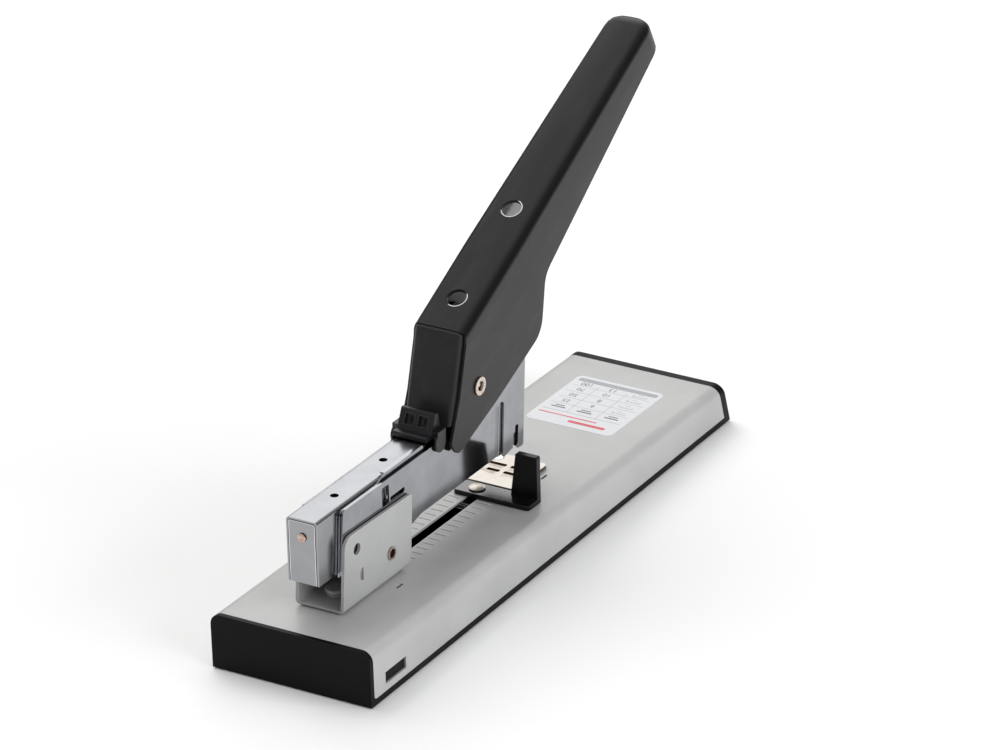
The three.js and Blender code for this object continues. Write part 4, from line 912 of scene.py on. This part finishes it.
def skin(name: str, rings: np.ndarray, place: Place, loop: bool = False, shifts: np.ndarray = ONCE
         ) -> bpy.types.Mesh:
    """A closed skin over a row of rings, once for each shift.

    Each quad takes a point, its neighbour round the ring, and the same two of the next ring.

    Args:
        name: the mesh's name.
        rings: an array of rows by columns by 3, in the place's millimetres.
        place: the frame that the rings are drawn in.
        loop: whether the last ring joins the first; otherwise both have a flat cap.
        shifts: how far each copy is moved, as rows of a, y, c.

    Returns:
        The mesh, its faces outward.
    """
    rows, columns = rings.shape[:2]
    count = rows if loop else rows - 1
    row, column = np.meshgrid(np.arange(count), np.arange(columns), indexing="ij")
    below, right = (row + 1) % rows, (column + 1) % columns
    quads = np.stack([row * columns + column, row * columns + right, below * columns + right,
                      below * columns + column], axis=-1).reshape(-1, 4)
    blocks = [quads]
    if not loop:
        round_once = np.arange(columns)
        blocks.append(np.stack([round_once[::-1], (rows - 1) * columns + round_once]))
    starts = (np.arange(len(shifts)) * rows * columns)[:, None, None]
    local = (shifts[:, None] + rings.reshape(1, -1, 3)).reshape(-1, 3)
    faces = [(block[None] + starts).reshape(-1, block.shape[1]) for block in blocks]
    return faced_outward(mesh_of(name, place.points(local), faces))


def rounded(half_a: float, half_y: float, radius: float, steps: int = 6) -> np.ndarray:
    """A rectangle with round corners, as (n, 2) points round its middle.

    A point is its quarter's corner centre plus the radius times the cosine and sine of its angle.
    """
    quarter = np.repeat(np.arange(4), steps)
    angle = (quarter + (np.tile(np.arange(steps), 4) + 0.5) / steps) * np.pi / 2
    centre = np.stack([np.array([1, -1, -1, 1])[quarter] * (half_a - radius),
                       np.array([1, 1, -1, -1])[quarter] * (half_y - radius)], axis=-1)
    return centre + radius * np.stack([np.cos(angle), np.sin(angle)], axis=-1)


def at_height(outline: np.ndarray, height: float) -> np.ndarray:
    """An outline as a ring at one height."""
    return np.column_stack([outline, np.full(len(outline), height)])


def slab(half_a: float, half_y: float, radius: float, low: float, high: float, edge: float) -> np.ndarray:
    """The rings of a thin plate: its outline up the side, drawn in by an edge at the top."""
    outline = rounded(half_a, half_y, radius)
    inner = rounded(half_a - edge, half_y - edge, max(radius - edge, edge / 2))
    return np.stack([at_height(outline, low), at_height(outline, high - edge), at_height(inner, high)])


def rim(outer: np.ndarray, inner: np.ndarray, low: float, high: float) -> np.ndarray:
    """The rings of a raised frame between two outlines, with its crest half way between them."""
    shares = (0.0, 0.25, 0.5, 0.75, 1.0)
    shoulder = high * 0.75 + low * 0.25
    heights = (low, shoulder, high, shoulder, low)
    return np.stack([at_height(outer * (1 - share) + inner * share, height)
                     for share, height in zip(shares, heights)])


def wire(path: np.ndarray, radius: float, axis: int, sides: int = 12) -> np.ndarray:
    """The rings of a round wire along a path.

    Each ring stands square to the path. Its first direction is the path's way crossed with a fixed
    axis, its second the path's way crossed with the first, and the radius shrinks at both ends.

    Args:
        path: rows of points.
        radius: the wire's radius.
        axis: the axis of the frame that the path never runs along.
        sides: how many corners a ring has.

    Returns:
        The rings.
    """
    along = np.gradient(path, axis=0)
    along /= np.linalg.norm(along, axis=1, keepdims=True)
    first = np.cross(along, np.eye(3)[axis])
    first /= np.linalg.norm(first, axis=1, keepdims=True)
    second = np.cross(along, first)
    angle = np.linspace(0, 2 * np.pi, sides, endpoint=False)
    shrink = np.ones(len(path))
    shrink[[0, -1]] = 0.7
    ring = np.cos(angle)[None, :, None] * first[:, None] + np.sin(angle)[None, :, None] * second[:, None]
    return path[:, None] + radius * shrink[:, None, None] * ring


def coil(radius: float, length: float, turns: float, axis: int, start: float = 0.0, steps: int = 20
         ) -> np.ndarray:
    """A helix round one axis of its frame, from zero to a length along it.

    At a share t of the way, the angle is the start plus t times all the turns, and the way along
    the axis is t times the length.
    """
    share = np.linspace(0, 1, int(abs(turns) * steps) + 1)
    angle = start + 2 * np.pi * turns * share
    parts = [radius * np.cos(angle), radius * np.sin(angle)]
    parts.insert(axis, length * share)
    return np.stack(parts, axis=-1)


def eased(corners: np.ndarray, spacing: float, reach: int) -> np.ndarray:
    """A polyline set out at even spacing, with its corners eased by a moving average."""
    length = np.concatenate([[0], np.cumsum(np.linalg.norm(np.diff(corners, axis=0), axis=1))])
    at = np.linspace(0, length[-1], int(length[-1] / spacing) + 1)
    even = np.stack([np.interp(at, length, column) for column in corners.T], axis=-1)
    padded = np.concatenate([np.repeat(even[:1], reach, 0), even, np.repeat(even[-1:], reach, 0)])
    kernel = np.full(2 * reach + 1, 1 / (2 * reach + 1))
    smooth = np.stack([np.convolve(column, kernel, "valid") for column in padded.T], axis=-1)
    smooth[[0, -1]] = even[[0, -1]]
    return smooth


def printed(name: str, words: list[tuple[str, float, float]], size: float, place: Place, low: float,
            depth: float) -> bpy.types.Mesh:
    """Plain numbers as raised print that reads along +Y, with their tops to the rear.

    Args:
        name: the mesh's name.
        words: each number with the a and y of its middle.
        size: the type's size in millimetres.
        place: the frame that it lies in.
        low: the print's under side.
        depth: half its thickness.

    Returns:
        The mesh.
    """
    work = bmesh.new()
    for body, a, y in words:
        curve = bpy.data.curves.new(name, "FONT")
        curve.body, curve.size, curve.extrude = body, size, depth
        curve.align_x, curve.align_y = "CENTER", "CENTER"
        lettering = bpy.data.objects.new(name, curve)
        bpy.context.scene.collection.objects.link(lettering)
        flat = bpy.data.meshes.new_from_object(lettering.evaluated_get(bpy.context.evaluated_depsgraph_get()))
        local = np.empty(len(flat.vertices) * 3)
        flat.vertices.foreach_get("co", local)
        local = local.reshape(-1, 3)
        moved = np.stack([a - local[:, 1], y + local[:, 0], low + depth + local[:, 2]], axis=-1)
        flat.vertices.foreach_set("co", place.points(moved).ravel())
        work.from_mesh(flat)
        bpy.data.objects.remove(lettering)
        bpy.data.meshes.remove(flat)
    bmesh.ops.remove_doubles(work, verts=work.verts, dist=1e-7)
    mesh = bpy.data.meshes.new(name)
    work.to_mesh(mesh)
    work.free()
    return faced_outward(mesh)


def joined(name: str, meshes: list[bpy.types.Mesh]) -> bpy.types.Mesh:
    """Several meshes as one."""
    work = bmesh.new()
    for mesh in meshes:
        work.from_mesh(mesh)
        bpy.data.meshes.remove(mesh)
    made = bpy.data.meshes.new(name)
    work.to_mesh(made)
    work.free()
    return made


class Keep(Enum):
    """How wide a band is cut off the corners of a refined copy, in millimetres."""

    CRISP = 0.12
    BROKEN = 0.22


@dataclass(frozen=True)
class Coat:
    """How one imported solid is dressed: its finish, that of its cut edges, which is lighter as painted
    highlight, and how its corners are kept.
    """

    finish: Finish
    edge: Finish | None = None
    keep: Keep = Keep.CRISP
    corner: float = 32.0


def refined(node: str, body: str, coat: Coat) -> bpy.types.Object:
    """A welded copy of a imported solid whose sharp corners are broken, which stands for the solid.

    Args:
        node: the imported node's name.
        body: the body that it is on.
        coat: how it is dressed.

    Returns:
        The piece.
    """
    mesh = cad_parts[node].data.copy()
    mesh.name = f"{node}_fine"
    if "custom_normal" in mesh.attributes:
        mesh.attributes.remove(mesh.attributes["custom_normal"])
    work = bmesh.new()
    work.from_mesh(mesh)
    bmesh.ops.remove_doubles(work, verts=work.verts, dist=WELD)
    bmesh.ops.dissolve_degenerate(work, edges=work.edges, dist=WELD)
    bmesh.ops.dissolve_limit(
        work, angle_limit=math.radians(FLAT_ANGLE), verts=work.verts, edges=work.edges)
    for face in work.faces:
        face.smooth = True
        face.material_index = 0
    for edge in work.edges:
        edge.smooth = edge.calc_face_angle(0.0) < math.radians(coat.corner)
    work.to_mesh(mesh)
    work.free()
    piece = shown(f"{node}_fine", mesh, coat.finish, body)
    bevel = piece.modifiers.new("broken corners", "BEVEL")
    bevel.limit_method = "ANGLE"
    bevel.angle_limit = math.radians(coat.corner)
    bevel.width = coat.keep.value * MM
    bevel.segments = 2
    bevel.use_clamp_overlap = True
    bevel.harden_normals = True
    # The bevels take the edge finish, a lighter band as painted highlight
    if coat.edge:
        mesh.materials.append(coat.edge.material())
        bevel.material = 1
    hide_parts(node)
    return piece


# Sub-assemblies


@dataclass
class SubAssembly(ABC):
    """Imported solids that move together, with the new pieces that ride on them."""

    body: str
    coats: dict[str, Coat]

    @abstractmethod
    def add(self) -> None:
        """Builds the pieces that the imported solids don't have."""

    def build(self) -> None:
        """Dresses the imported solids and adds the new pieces."""
        for node, coat in self.coats.items():
            refined(node, self.body, coat)
        self.add()

    def piece(self, name: str, mesh: bpy.types.Mesh, finish: Finish) -> bpy.types.Object:
        """A new piece on this sub-assembly's body."""
        return shown(name, mesh, finish, self.body)

    def skinned(self, name: str, rings: np.ndarray, place: Place, finish: Finish, loop: bool = False,
                shifts: np.ndarray = ONCE) -> bpy.types.Object:
        """A new piece that is a skin over rings, with skin()'s own arguments."""
        return self.piece(name, skin(name, rings, place, loop, shifts), finish)


@dataclass
class Base(SubAssembly):
    """The pressed cover and moulded tray, the bracket, the anvil, the scale and the label."""

    slot_middle: float = 124.3
    slot_half: float = 33.7
    slot_width: float = 6.0
    slot_lip: float = 0.32
    tick_first: float = 86.0
    tick_pitch: float = 5.0
    tick_count: int = 13
    tick_length: float = 6.4
    tick_width: float = 0.8
    tick_height: float = 0.2
    tick_gap: float = 0.9
    mark_start: float = 10.0
    mark_length: float = 1.5
    line_width: float = 0.6
    line_offset: float = 0.75
    sunk: float = 0.02
    label_start: float = 230.3
    label_end: float = 280.4
    label_half: float = 22.4
    film: float = 0.1
    ink: float = 0.03
    rules: tuple[float, ...] = (250.6, 257.2, 263.8, 270.4)
    rows: tuple[float, ...] = (254.0, 260.6, 267.2, 273.0)
    columns: tuple[float, float, float] = (-13.6, 0.5, 14.0)
    type_size: float = 4.2
    spring_x: float = 70.8
    spring_radius: float = 3.9
    spring_wire: float = 1.0
    spring_low: float = 2.1
    spring_high: float = 16.2
    spring_turns: float = 6.0

    def add(self) -> None:
        """The slot's bright lip, the embossed scale, the label and the lift spring."""
        self.slot_edge()
        self.scale()
        self.label()
        self.lift_spring()

    def slot_edge(self) -> None:
        """The sheared lip round the long slot in a lighter grey, as painted highlight: a frame between two
        stadiums.
        """
        half = self.slot_width / 2
        inner = rounded(self.slot_half, half, half, 12)
        outer = rounded(self.slot_half + self.slot_lip, half + self.slot_lip, half + self.slot_lip, 12)
        rings = rim(outer, inner, -0.03, 0.07)
        rings[..., 0] += self.slot_middle
        self.skinned("slot_lip", rings, DECK, GREY_EDGE_HIGHLIGHT, True)

    def scale(self) -> None:
        """Embossed ticks on both sides of the slot and a short mark beyond each, in a lighter grey as painted
        highlight, and a dark line beside each tick as painted shade.

        A tick is a low ridge whose height over its width is a half wave, and its ends fall away.
        """
        steps = self.tick_first + self.tick_pitch * np.arange(self.tick_count)
        shifts = np.stack([steps, 0 * steps, 0 * steps], axis=-1)
        angle = np.linspace(0, np.pi, 7)
        across = -self.tick_width / 2 * np.cos(angle)
        shares = np.array([0.0, 0.04, 0.12, 0.88, 0.96, 1.0])
        rise = np.array([0.0, 0.7, 1.0, 1.0, 0.7, 0.0])
        height = self.tick_height * np.outer(rise, np.sin(angle)) - self.sunk
        tick_start = self.slot_width / 2 + self.tick_gap
        line = slab(
            self.line_width / 2, self.tick_length * 0.46, self.line_width / 2.2, -self.sunk, 0.035, 0.01)
        line += (-self.line_offset, tick_start + self.tick_length / 2, 0.0)
        ridges = []
        for name, low, length in (("scale_ticks", tick_start, self.tick_length),
                                  ("scale_marks", self.mark_start, self.mark_length)):
            y = np.broadcast_to((low + length * shares)[:, None], height.shape)
            ridges.append((name, np.stack([np.broadcast_to(across, height.shape), y, height], axis=-1)))
        for name, rings in (*ridges, ("scale_shade_lines", line)):
            # The ridges are a lighter grey as painted highlight and the lines beside them are painted shade
            finish = SCALE_SHADE_INK if rings is line else TICK_HIGHLIGHT
            for side, label in SIDES:
                self.skinned(f"{name}_{label}", rings * (1, side, 1), DECK, finish, shifts=shifts)

    def label(self) -> None:
        """The capacity label: a film with red rules, a grey grid, plain numbers and staple signs."""
        film = slab((self.label_end - self.label_start) / 2, self.label_half, 3.0, 0.01, self.film, 0.03)
        film[..., 0] += (self.label_start + self.label_end) / 2
        self.skinned("label_film", film, DECK, FILM)
        low, high = self.film - 0.01, self.film + self.ink
        rules = [(243.2, 0.0, 0.16, 20.0), *((a, 0.0, 0.12, 20.0) for a in self.rules)]
        heads = [(a, y, half, reach - shorter) for y, reach in zip(self.columns, (3.6, 3.8, 3.6))
                 for a, half, shorter in ((246.6, 0.5, 0.0), (248.4, 0.4, 1.2))]
        for name, finish, bars in (
            ("label_red_rule", RED_INK, [(235.6, -7.0, 1.1, 9.5), (239.6, 5.0, 0.45, 15.0)]),
            ("label_rules", GREY_INK, [*rules, (258.0, -7.0, 14.8, 0.12), (258.0, 8.0, 14.8, 0.12)]),
            ("label_stripe", GREY_INK, [(276.6, 0.0, 1.6, 20.4)]),
            ("label_heads", DARK_INK, heads),
        ):
            self.bars(name, finish, bars, low, high)
        self.staple_signs(low, high)
        numbers = [
            (text, row - 0.1, column)
            for texts, column in ((("25", "50", "70", "100"), self.columns[2]),
                                  (("6", "8", "10", "13"), self.columns[1]))
            for text, row in zip(texts, self.rows)]
        mesh = printed("label_numbers", numbers, self.type_size, DECK, low, (high - low) / 2)
        self.piece("label_numbers", mesh, DARK_INK)

    def bars(self, name: str, finish: Finish, bars: list[tuple[float, float, float, float]], low: float,
             high: float) -> None:
        """Printed bars as one piece.

        Args:
            name: the piece's name.
            finish: its ink.
            bars: the a and y of each bar's middle and its half sizes along a and y.
            low: the print's under side.
            high: its upper side.
        """
        meshes = []
        for a, y, half_a, half_y in bars:
            corner = min(half_a, half_y) * 0.6
            rings = slab(half_a, half_y, corner, low, high, min(0.01, corner / 2))
            rings[..., :2] += (a, y)
            meshes.append(skin(name, rings, DECK))
        self.piece(name, joined(name, meshes), finish)

    def staple_signs(self, low: float, high: float) -> None:
        """A small staple drawn in each row: a crown bar with two legs, longer from row to row."""
        middle, bars = self.columns[0], []
        for index, row in enumerate(self.rows):
            crown, leg = row - 1.3, 1.0 + 0.3 * index
            bars.append((crown, middle, 0.22, 3.4))
            bars += [(crown + leg / 2, middle + side * 3.2, leg / 2, 0.2) for side, _ in SIDES]
            bars.append((row + 0.9, middle, 0.16, 1.4))
        self.bars("label_signs", GREY_INK, bars, low, high)

    def lift_spring(self) -> None:
        """The coil that lifts the head."""
        radius = self.spring_wire / 2
        length = self.spring_high - self.spring_low - self.spring_wire
        path = coil(self.spring_radius, length, self.spring_turns, 2)
        path += (self.spring_x, 0.0, self.spring_low + radius)
        made = self.skinned("lift_spring_wire", wire(path, radius, 2), DECK, STEEL)
        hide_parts("head_lift_spring")
        foot = DECK.at(self.spring_x, 0.0, self.spring_low)
        lift = DECK.at(self.spring_x, 0.0, self.spring_high) - foot
        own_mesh(made)


@dataclass
class PaperStop(SubAssembly):
    """The sliding paper stop: its black plate and tab, the rivet and the slider."""

    def add(self) -> None:
        """It needs no new pieces."""


@dataclass
class Head(SubAssembly):
    """The folded side plates, the front plate and the handle's return spring."""

    pivot_a: float = 122.9
    pivot_c: float = 43.7
    wire_size: float = 1.1
    spring_radius: float = 5.4
    spring_side: float = 6.3
    pitch: float = 2.1
    turns: float = 6.25
    foot: Triple = (114.1, 8.45, 29.45)
    tip_a: float = 146.2
    tip_c: float = 47.8
    bend_start: Triple = (127.0, 0.0, 49.0)
    bend_end: Triple = (144.0, 0.0, 48.0)

    def add(self) -> None:
        """The torsion spring round the handle's rivet, whose long leg bears under the driver."""
        width = self.pitch * self.turns
        curl = coil(self.spring_radius, -width, -self.turns, 1, np.pi)
        curl += (self.pivot_a, self.spring_side, self.pivot_c)
        heel = (self.pivot_a - 6.6, self.spring_side + 0.6, self.pivot_c - 4.0)
        tip = (self.tip_a, self.spring_side - width, self.tip_c)
        path = eased(np.concatenate([[self.foot, heel], curl, [tip]]), 0.45, 2)
        name = "return_spring_wire"
        made = linked(name, skin(name, wire(path, self.wire_size / 2, 1), HEAD), STEEL)
        start, end = tuple(HEAD.at(*self.bend_start)), tuple(HEAD.at(*self.bend_end))
        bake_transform(made)
        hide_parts("handle_return_spring")
        log.info("%s bends between head and driver", name)


@dataclass
class Magazine(SubAssembly):
    """The channel cover and rail with its staples, the guide rod and the pusher's spring."""

    bead_half: float = 6.35
    bead_low: float = 0.4
    bead_top: float = 28.65
    bead_corner: float = 0.8
    bead_radius: float = 0.2
    rod_height: float = 21.6
    spring_start: float = 1.85
    spring_end: float = 74.05
    spring_radius: float = 3.1
    spring_wire: float = 0.6
    spring_turns: float = 34.0
    staple_first: float = 91.4
    staple_last: float = 160.2
    staple_pitch: float = 0.72
    staple_wire: float = 0.62
    staple_half: float = 6.5
    staple_top: float = 14.4
    staple_leg: float = 13.6
    staple_bend: float = 0.8

    def add(self) -> None:
        """The bead round the rear flap, the strip of separate staples and the pusher's spring."""
        self.flap_bead()
        self.staples()
        self.pusher_spring()

    def flap_bead(self) -> None:
        """A thin bead, bright as painted highlight: a leg up, a quarter circle, half a crown, and the same
        mirrored.
        """
        turn = np.linspace(0, np.pi / 2, 6)
        corner = np.stack([0 * turn, -self.bead_half + self.bead_corner * (1 - np.cos(turn)),
                           self.bead_top - self.bead_corner * (1 - np.sin(turn))], axis=-1)
        rise = np.linspace(self.bead_low, corner[0, 2] - 0.15, 8)
        leg = np.column_stack([0 * rise, np.full(8, -self.bead_half), rise])
        run = np.linspace(0.6, 0.4, 4) * corner[-1, 1]
        crown = np.column_stack([0 * run, run, np.full(4, self.bead_top)])
        half = np.concatenate([leg, corner, crown])
        path = np.concatenate([half, half[::-1] * (1, -1, 1)])
        self.skinned("flap_bead", wire(path, self.bead_radius, 0, 10), HEAD, CUT_EDGE_HIGHLIGHT)

    def staples(self) -> None:
        """Every staple of the strip: one bent wire, a leg up, a crown across and a leg down."""
        radius = self.staple_wire / 2
        reach, top, bend = self.staple_half - radius, self.staple_top - radius, self.staple_bend
        turn = np.linspace(0, np.pi / 2, 4)
        corner = np.stack([-reach + bend * (1 - np.cos(turn)), top - bend * (1 - np.sin(turn))], axis=-1)
        left = np.concatenate([[(-reach, self.staple_top - self.staple_leg)], corner])
        path = np.concatenate([left, left[::-1] * (-1, 1)])
        rings = wire(np.column_stack([np.zeros(len(path)), path]), radius, 0, 6)
        steps = np.arange(self.staple_first, self.staple_last, self.staple_pitch)
        shifts = np.stack([steps, 0 * steps, 0 * steps], axis=-1)
        made = self.skinned("staples", rings, HEAD, STAPLE_WIRE, shifts=shifts)
        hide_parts("staple_strip")

    def pusher_spring(self) -> None:
        """The long spring on the rod."""
        radius = self.spring_wire / 2
        path = coil(self.spring_radius, self.spring_end - self.spring_start, self.spring_turns, 0, steps=16)
        path += (self.spring_start, 0.0, self.rod_height)
        made = self.skinned("pusher_spring_wire", wire(path, radius, 0, 8), HEAD, STEEL)
        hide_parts("pusher_spring")
        rear = HEAD.at(self.spring_start, 0.0, self.rod_height)
        ahead = HEAD.at(self.spring_end, 0.0, self.rod_height) - rear
        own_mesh(made)


@dataclass
class Pusher(SubAssembly):
    """The follower that presses the staples forward."""

    def add(self) -> None:
        """It needs no new pieces."""


@dataclass
class Latch(SubAssembly):
    """The magazine's release button, with two framed finger pockets."""

    face: Triple = (90.4, 32.8, -65.14)
    pocket: float = 4.6
    pocket_middle: float = 4.52
    spacing: float = 3.4
    frame_width: float = 0.5
    frame_height: float = 0.22

    def add(self) -> None:
        """A raised frame round each pocket, lighter as painted highlight, and a small rib inside it."""
        face = nested(HEAD, *self.face)
        half = self.pocket / 2
        reach = half + self.frame_width
        rings = rim(rounded(reach, reach, 0.8), rounded(half, half, 0.3), -0.05, self.frame_height)
        rib = slab(1.3, 0.4, 0.3, -1.25, -0.5, 0.12)
        for side, label in SIDES:
            middle = (self.pocket_middle, side * self.spacing, 0.0)
            self.skinned(f"pocket_frame_{label}", rings + middle, face, LATCH_EDGE_HIGHLIGHT, True)
            self.skinned(f"pocket_rib_{label}", rib + middle, face, LATCH_PLASTIC)


@dataclass
class Driver(SubAssembly):
    """The blade, its carrier and the cross pin."""

    def add(self) -> None:
        """It needs no new pieces."""


@dataclass
class Handle(SubAssembly):
    """The pressed channel handle, its liner and the pivot rivet."""

    holes: tuple[float, float] = (21.0, 73.8)
    hole_radius: float = 4.5
    top: float = 30.8
    lip: float = 0.55
    core_radius: float = 1.5
    core_offset: float = 0.5
    core_face: float = 13.3

    def add(self) -> None:
        """The lips round the two holes in the top, with a painted highlight on one side, and the drawn core
        in the rivet's bores.
        """
        radius = self.core_radius * np.array([1.0, 1.0, 0.93, 0.72, 0.4, 0.1])
        reach = self.core_face - np.array([3.2, 0.9, 0.5, 0.2, 0.05, 0.0])
        angle = np.linspace(0, 2 * np.pi, 24, endpoint=False)
        ring = np.stack([np.cos(angle), 0 * angle, np.sin(angle)], axis=-1)
        for side, label in SIDES:
            rings = radius[:, None, None] * ring + reach[:, None, None] * np.array([0, side, 0])
            self.skinned(f"rivet_core_{label}", rings + (self.core_offset, 0.0, 0.0), GRIP, CORE_METAL)
        bore = self.hole_radius - 0.02
        inner = rounded(bore, bore, bore, 12)
        lip = rim(inner * (1 + self.lip / self.hole_radius), inner, -0.05, 0.1)
        for along, label, finish in zip(self.holes, ("rear", "front"), (REAR_LIP, FRONT_LIP)):
            self.skinned(f"hole_lip_{label}", lip + (along, 0.0, self.top), GRIP, finish, True)


# The studio


@dataclass(frozen=True)
class Studio:
    """A pale floor, three soft lamps, a grey tent and the camera at the photograph's angle."""

    middle: float = -154.0
    focal: float = 6575.4
    azimuth: float = -58.166
    elevation: float = 25.903
    roll: float = -1.982
    right: float = 87.890
    up: float = 132.587
    depth: float = 2778.35
    image_width: int = 1000
    sensor: float = 36.0
    tent: tuple[tuple[float, float], ...] = ((0.0, 0.4), (0.02, 0.14), (0.2, 0.18), (0.34, 0.45), (1.0, 0.62))
    near_side: tuple[float, float] = (-0.85, -0.1)
    near_strength: float = 0.55
    far_strength: float = 1.15

    def camera(self) -> None:
        """Aims the camera: its axes are the view's right, up and back, rolled about the view."""
        turn, lift, roll = (math.radians(value) for value in (self.azimuth, self.elevation, self.roll))
        ahead = Vector((-math.sin(turn) * math.cos(lift), math.cos(turn) * math.cos(lift), -math.sin(lift)))
        right = Vector((math.cos(turn), math.sin(turn), 0.0))
        up = right.cross(ahead)
        rolled_right = math.cos(roll) * right + math.sin(roll) * up
        rolled_up = -math.sin(roll) * right + math.cos(roll) * up
        eye = rolled_right * self.right + rolled_up * self.up - ahead * self.depth
        eye.x += self.middle
        axes = Matrix((rolled_right, rolled_up, -ahead)).transposed()
        data = bpy.data.cameras.new("camera")
        data.sensor_width = self.sensor
        data.lens = self.focal / self.image_width * self.sensor
        data.clip_start, data.clip_end = 0.05, 50.0
        made = bpy.data.objects.new("camera", data)
        made.matrix_world = Matrix.Translation(eye * MM) @ axes.to_4x4()
        bpy.context.scene.collection.objects.link(made)
        bpy.context.scene.camera = made

    def lamp(self, name: str, place: Triple, size: tuple[float, float], watts: float, tint: Colour,
             mirrored: bool = True) -> None:
        """A rectangular lamp aimed at the middle of the object.

        Args:
            name: the lamp's name.
            place: where it hangs, in metres.
            size: its width and height, in metres.
            watts: its power.
            tint: its colour.
            mirrored: whether it shows in reflections.
        """
        data = bpy.data.lights.new(name, "AREA")
        data.shape = "RECTANGLE"
        data.size, data.size_y = size
        data.energy = watts
        data.color = tint
        made = bpy.data.objects.new(name, data)
        made.location = place
        made.visible_glossy = mirrored
        aim = Vector((0.0, 0.0, 0.07)) - Vector(place)
        made.rotation_euler = aim.to_track_quat("-Z", "Y").to_euler()
        bpy.context.scene.collection.objects.link(made)

    def floor(self) -> None:
        """A wide pale sheet under the object."""
        web = Web("studio_floor")
        cloud = web.noise(400.0, 2.0)
        shade = web.blend((0.95, 0.95, 0.95), (0.97, 0.97, 0.97), cloud)
        material = web.finish(Base_Color=shade, Roughness=0.7 + 0.1 * cloud)
        points = np.array([[-6, -6, 0], [6, -6, 0], [6, 6, 0], [-6, 6, 0]], float)
        mesh = mesh_of("floor", points, [np.array([[0, 1, 2, 3]])], False)
        mesh.materials.append(material)
        made = bpy.data.objects.new("floor", mesh)
        bpy.context.scene.collection.objects.link(made)

    def build(self) -> None:
        """Sets up the camera, floor, lamps and the pale surround."""
        self.camera()
        self.floor()
        self.lamp("key_lamp", (0.25, 1.0, 1.45), (1.2, 1.2), 13.0, (1.0, 0.99, 0.98), False)
        self.lamp("side_lamp", (-0.2, -1.7, 0.7), (1.6, 0.8), 22.0, (0.975, 0.985, 1.0), False)
        self.lamp("front_lamp", (1.6, 1.0, 1.2), (1.6, 1.3), 9.0, (1.0, 1.0, 1.0))
        self.surround()
        bpy.context.scene.view_settings.view_transform = "Standard"

    def surround(self) -> None:
        """A grey tent, dark at the horizon and paler overhead, and darker all the way up on the near side."""
        web = Web("surround", True)
        parts = web.node("ShaderNodeSeparateXYZ", {}, web.node("ShaderNodeTexCoord", {})["Generated"])
        stops = [(height, (grey, grey, grey)) for height, grey in self.tent]
        greys = web.node("ShaderNodeValToRGB", {"stops": stops}, parts[2])
        spread = self.far_strength - self.near_strength
        strength = self.near_strength + spread * Signal(web, parts[1]).rise(*self.near_side)
        background = web.node("ShaderNodeBackground", {}, greys[0], strength)
        web.node("ShaderNodeOutputWorld", {}, background[0])
        bpy.context.scene.world = web.owner


def assemblies() -> list[SubAssembly]:
    """The sub-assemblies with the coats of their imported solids, in the order they are built."""
    steel, zinc = Coat(STEEL), Coat(ZINC, CUT_EDGE_HIGHLIGHT)
    grey, rivet = Coat(BRACKET_GREY, GREY_EDGE_HIGHLIGHT, Keep.BROKEN), Coat(GREY, GREY_EDGE_HIGHLIGHT)
    return [
        Base("base", {
            "base_cover": Coat(COVER_GREY, GREY_EDGE_HIGHLIGHT), "base_tray": Coat(PLASTIC, PLASTIC_EDGE_HIGHLIGHT),
            "rear_pad": Coat(RUBBER), "front_pad": Coat(RUBBER), "pivot_bracket": grey,
            "bracket_rivet_rear": rivet, "bracket_rivet_front": rivet, "head_pivot_pin": Coat(PIN_METAL),
            "anvil_plate": Coat(ANVIL), "anvil_rivet_left": Coat(NICKEL), "anvil_rivet_right": Coat(NICKEL)}),
        PaperStop("guide", {
            "paper_guide": Coat(GUIDE_PLASTIC, PLASTIC_EDGE_HIGHLIGHT), "guide_rivet": Coat(GUIDE_METAL),
            "guide_slider": Coat(PLASTIC, CUT_EDGE_HIGHLIGHT)}),
        Head("head", {"head_frame": Coat(SIDE_ZINC, CUT_EDGE_HIGHLIGHT), "front_plate": zinc}),
        Magazine("magazine", {
            "magazine_cover": Coat(COVER_ZINC, CUT_EDGE_HIGHLIGHT), "magazine_rail": zinc, "guide_rod": steel,
            "rod_rivet": Coat(ROD_METAL)}),
        Pusher("pusher", {"staple_pusher": steel}),
        Latch("latch", {"latch_button": Coat(LATCH_PLASTIC, LATCH_EDGE_HIGHLIGHT)}),
        Driver("driver", {"driver_blade": steel, "driver_carrier": zinc, "drive_pin": steel}),
        Handle("handle", {
            "handle_shell": Coat(HANDLE_BLACK, BLACK_EDGE_HIGHLIGHT), "handle_liner": Coat(LINER_BLACK, BLACK_EDGE_HIGHLIGHT),
            "handle_pivot_rivet": Coat(PIVOT_METAL)}),
    ]


def main() -> None:
    """Builds the studio and the sub-assemblies."""
    logging.basicConfig(level=logging.INFO)
    Studio().build()
    for sub_assembly in assemblies():
        sub_assembly.build()


if __name__ == "__main__":
    main()
